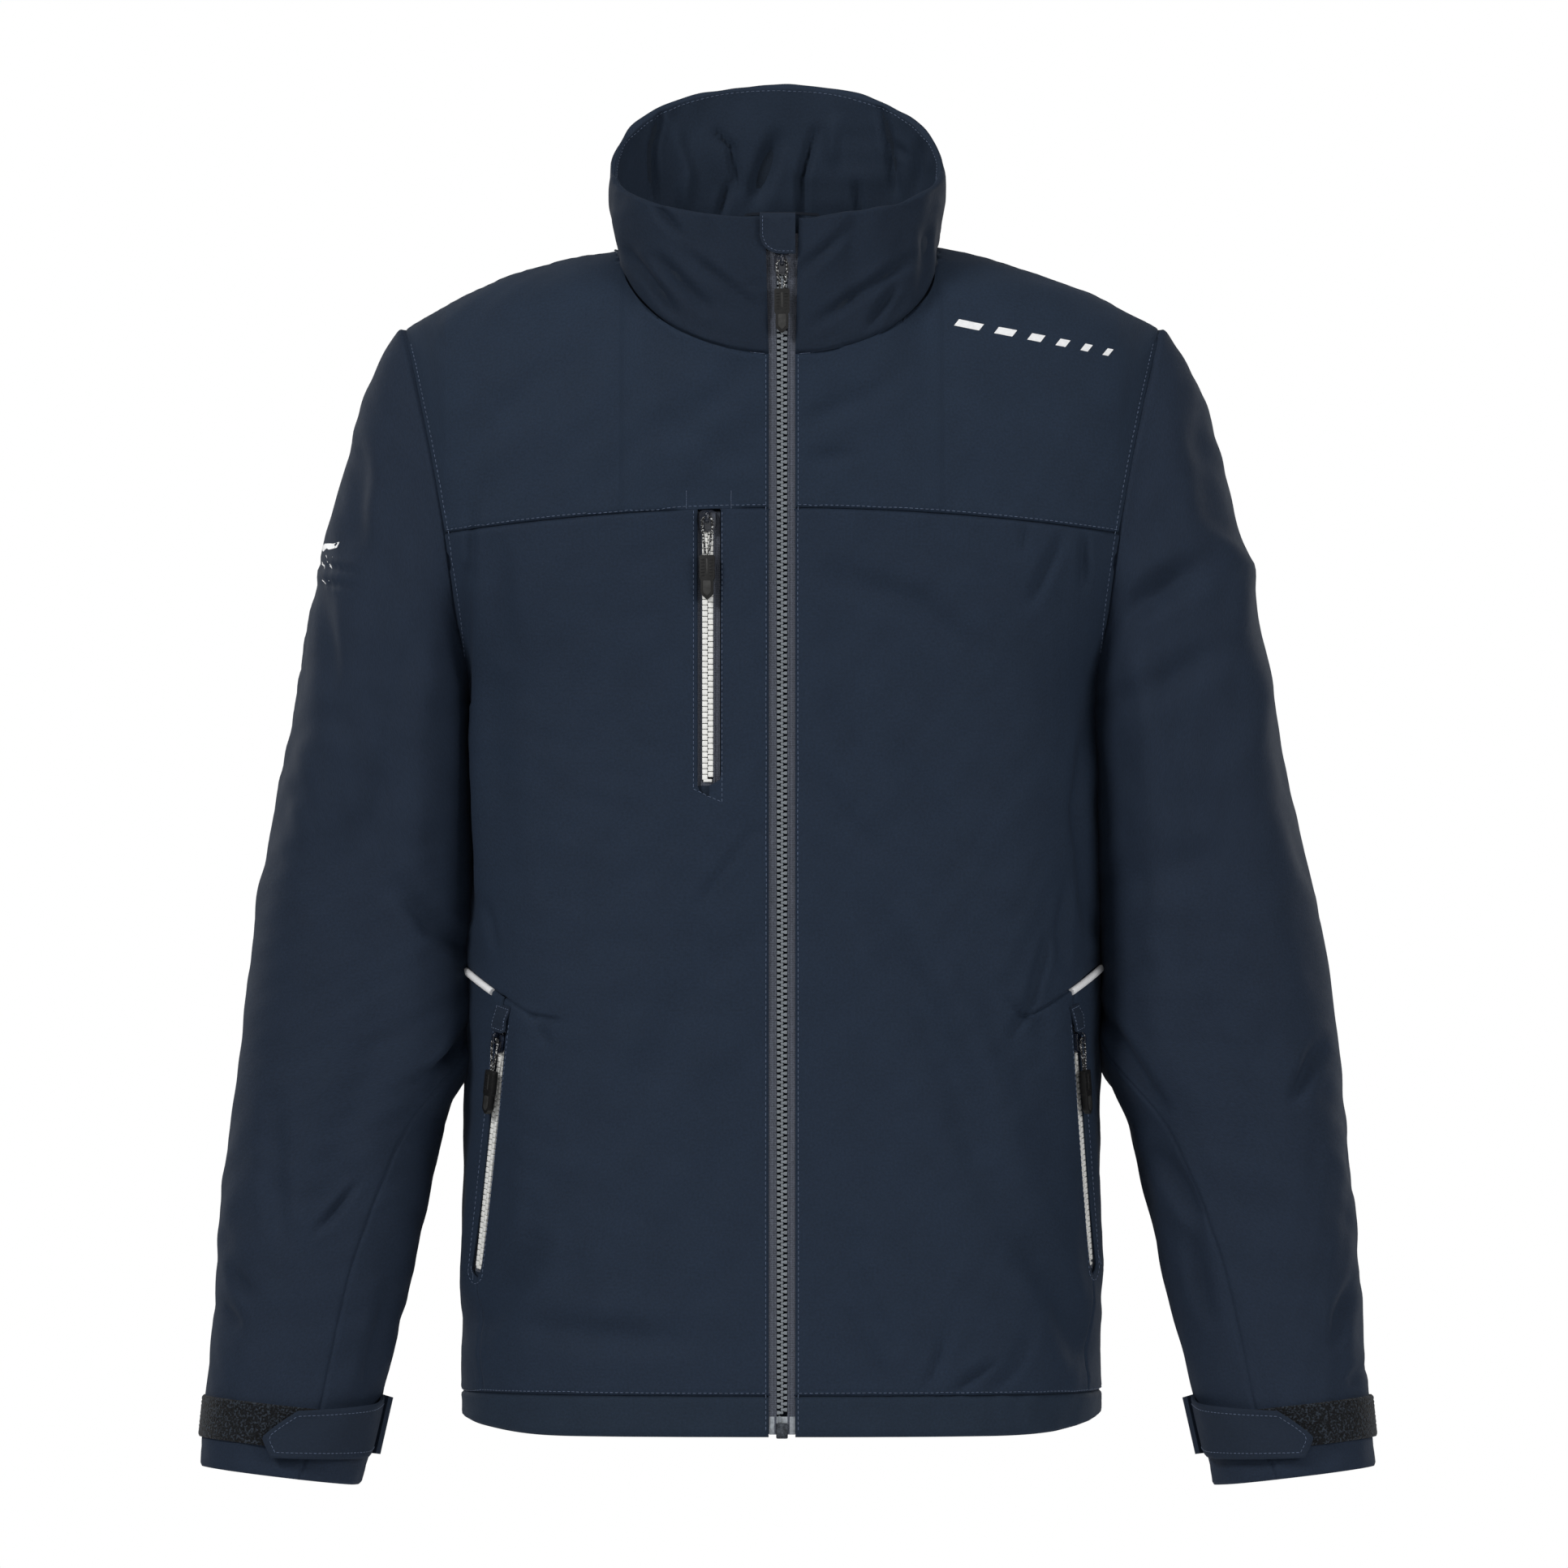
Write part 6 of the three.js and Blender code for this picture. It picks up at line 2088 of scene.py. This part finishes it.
def cuff_grid(side, piece, us, vs, stand, cut=no_cut):
    """A grid round the cuff over one of its pieces, standing off the sleeve's face."""
    u, v = np.meshgrid(us, vs, indexing="ij")
    angle = lerp(piece["angles"][0], piece["angles"][1] + cut(v), u)
    share = (angle - piece["angles"][0]) / (piece["angles"][1] - piece["angles"][0])
    z = lerp(lerp(*piece["low"], share), lerp(*piece["high"], share), v)
    p = sleeve_ring(side, angle, z)
    du = sleeve_ring(side, angle + 0.01, z) - sleeve_ring(side, angle - 0.01, z)
    dv = sleeve_ring(side, angle, z + 1) - sleeve_ring(side, angle, z - 1)
    normal = unit(np.cross(du, dv))
    core = np.stack([290 + 0 * z, -38 + 0 * z, z], -1)
    normal = normal * np.sign(np.sum(normal * (p - core), -1, keepdims=True))
    return mirrored(p + normal * stand(u, v)[..., None], side)


def strip_stand(u, v):
    rough = 0.22 * np.sin(u * 911 + 7 * v) * np.cos(v * 61 + u * 40)
    return 3.0 + rough - 0.9 * (np.abs(2 * v - 1) > 0.94)


def tab_stand(u, v):
    edges = bump(v, 0.025) + bump(v - 1, 0.025) + bump(u - 1, 0.012)
    soft = 0.6 * np.sin(u * 11 + v * 2) * smooth(v * (1 - v) * 8)
    return lerp(1.6, TAB_STAND, smooth(u / 0.36)) + soft - 0.7 * edges


def patch_stand(u, v):
    return 4.75 + 0 * u


def root_stand(u, v):
    return 6.4 - 9 * (u - 0.5) ** 2


def tab_lines(side, inset, reach):
    """A line inside the tab's edges, out to the share reach of its length."""

    def level(u, v):
        return TAB_STAND + 0 * u

    def cut(v):
        return tab_cut(v) + (1 - reach)

    rows = cuff_grid(side, TAB, np.linspace(0.04, 1, 40), np.array([inset, 1 - inset]), level, cut)
    end = cuff_grid(side, TAB, np.array([1.0]), np.linspace(inset, 1 - inset, 14), level, cut)
    return [rows[:, 0], rows[:, 1], end[0]]


def cuff(side):
    """The loop strip round a cuff, and its tab with a hook patch and the root it is sewn on by."""
    core = np.array([297.0 * SIDES[side], -40, 5])
    lower, tab = side + "_lower_sleeve", side + "_cuff_tab"
    fine = np.linspace(0, 1, 150)
    pile_slot = "hook_and_loop"
    loops = cuff_grid(side, STRIP, fine, np.linspace(0, 1, 24), strip_stand)
    strip(side + "_loop_strip", loops, 1.3, LOOP, lower, side + "_cuff_loop_strip", pile_slot, core)
    hooks = cuff_grid(side, PATCH, fine[::6], np.linspace(0, 1, 20), patch_stand)
    strip(side + "_hook_patch", hooks, 0.7, HOOK, tab, side + "_cuff_hook_patch", pile_slot, core)
    us = np.concatenate([np.linspace(0, 0.94, 60), [0.96, 0.98, 0.99, 1]])
    vs = spread(32.0, step=1.6)
    strip(tab + "_cloth", cuff_grid(side, TAB, us, vs, tab_stand, tab_cut), 1.7, TRIM_SHEET, tab, tab,
          toward=core)
    root = cuff_grid(side, ROOT, np.linspace(0, 1, 12), vs, root_stand)
    strip(tab + "_root", root, 5.8, TRIM_SHEET, lower, toward=core)
    stitches(tab + "_stitching", tab_lines(side, 0.12, 0.93), skin_tree(tab + "_cloth"), tab, 2.8, 2.1)


# ---- Inside pieces --------------------------------------------------------------------------------------
# The hanger strap's bar height, the x of its ends, the bend between them and its distance back.
STRAP_Z, STRAP_END, STRAP_BEND, STRAP_Y = 738.8, 23.2, 2.4, 36


def storm_guard():
    """The sheet that hangs behind the main zip."""
    line = ZIPS["main"]
    low, high = 4, line.length + 1

    def guard(u, v):
        z = lerp(low, high, v)
        y = 6.4 + 0.5 * np.sin(z / 37) * np.sin(3 * u)
        return line.place(np.stack([lerp(-22, 20, u), y, z], -1))

    patch = grid(np.linspace(0, 1, 15), np.linspace(0, 1, 150), guard)
    inner = line.place([0, 20, 360])
    flap = strip("storm_guard", patch, 0.9, LINING, "jacket", "storm_flap", "lining", inner)


def pocket_bags():
    """A flat bag inside the front for each pocket."""
    bags = [("chest", "right", (34, 116), (374, 546))]
    bags += [(side + "_hand", side, (80, 164), (86, 234)) for side in SIDES]
    for name, side, xs, zs in bags:

        def bag(u, v):
            z = lerp(zs[0], zs[1], v)
            p = body_point(lerp(angle_at(xs[0], z), angle_at(xs[1], z), u), z)
            inward = unit(np.array([0, -10, 0]) - p * np.array([1, 1, 0]))
            depth = 7.6 + 0.5 * np.sin(z / 17) * np.sin(5 * u)
            return mirrored(p + inward * depth[..., None], side)

        patch = grid(np.linspace(0, 1, 26), np.linspace(0, 1, 44), bag)
        strip(name + "_bag", patch, 2.2, LINING, "jacket", name + "_pocket_bag", "lining", [0, 0, 300])


def hanger_strap():
    """The webbing loop at the back of the neck: a level bar with its ends turned down into the seam."""
    x0, z0 = STRAP_END - STRAP_BEND, STRAP_Z - STRAP_BEND
    corner = [[x0 + STRAP_BEND * math.sin(a), 0, z0 + STRAP_BEND * math.cos(a)]
              for a in np.linspace(0, math.pi / 2, 7)]
    right = [[0, 0, STRAP_Z], [10, 0, STRAP_Z], *corner, [STRAP_END, 0, 728], [STRAP_END, 0, 718.4]]
    path = np.array([[-x, y, z] for x, y, z in right[:0:-1]] + right)
    strap = np.stack([path + np.array([0, STRAP_Y + w, 0]) for w in np.linspace(-4, 4, 7)], 1)
    strap = strap + np.array([0, 0, 0.8]) * (np.abs(strap[..., :1]) < 20)
    strip("hanger_strap", strap, 1.6, WEBBING, "jacket", "hanger_loop", "lining", [0, STRAP_Y, 700])


# ---- The whole jacket's trims ---------------------------------------------------------------------------
body_stitching()
main_zip()
pocket_zip("chest", "chest", 7.4, 23, ZIPS["chest"].length - 6.9)
for side in SIDES:
    pocket_zip(side + "_hand", side + "_hand", 7.4, 20, ZIPS[side + "_hand"].length - 11)
chin_flap()
for side in SIDES:
    pocket_flap(side)
piping()
shoulder_bars()
sleeve_bars()
for side in SIDES:
    cuff(side)
storm_guard()
pocket_bags()
hanger_strap()
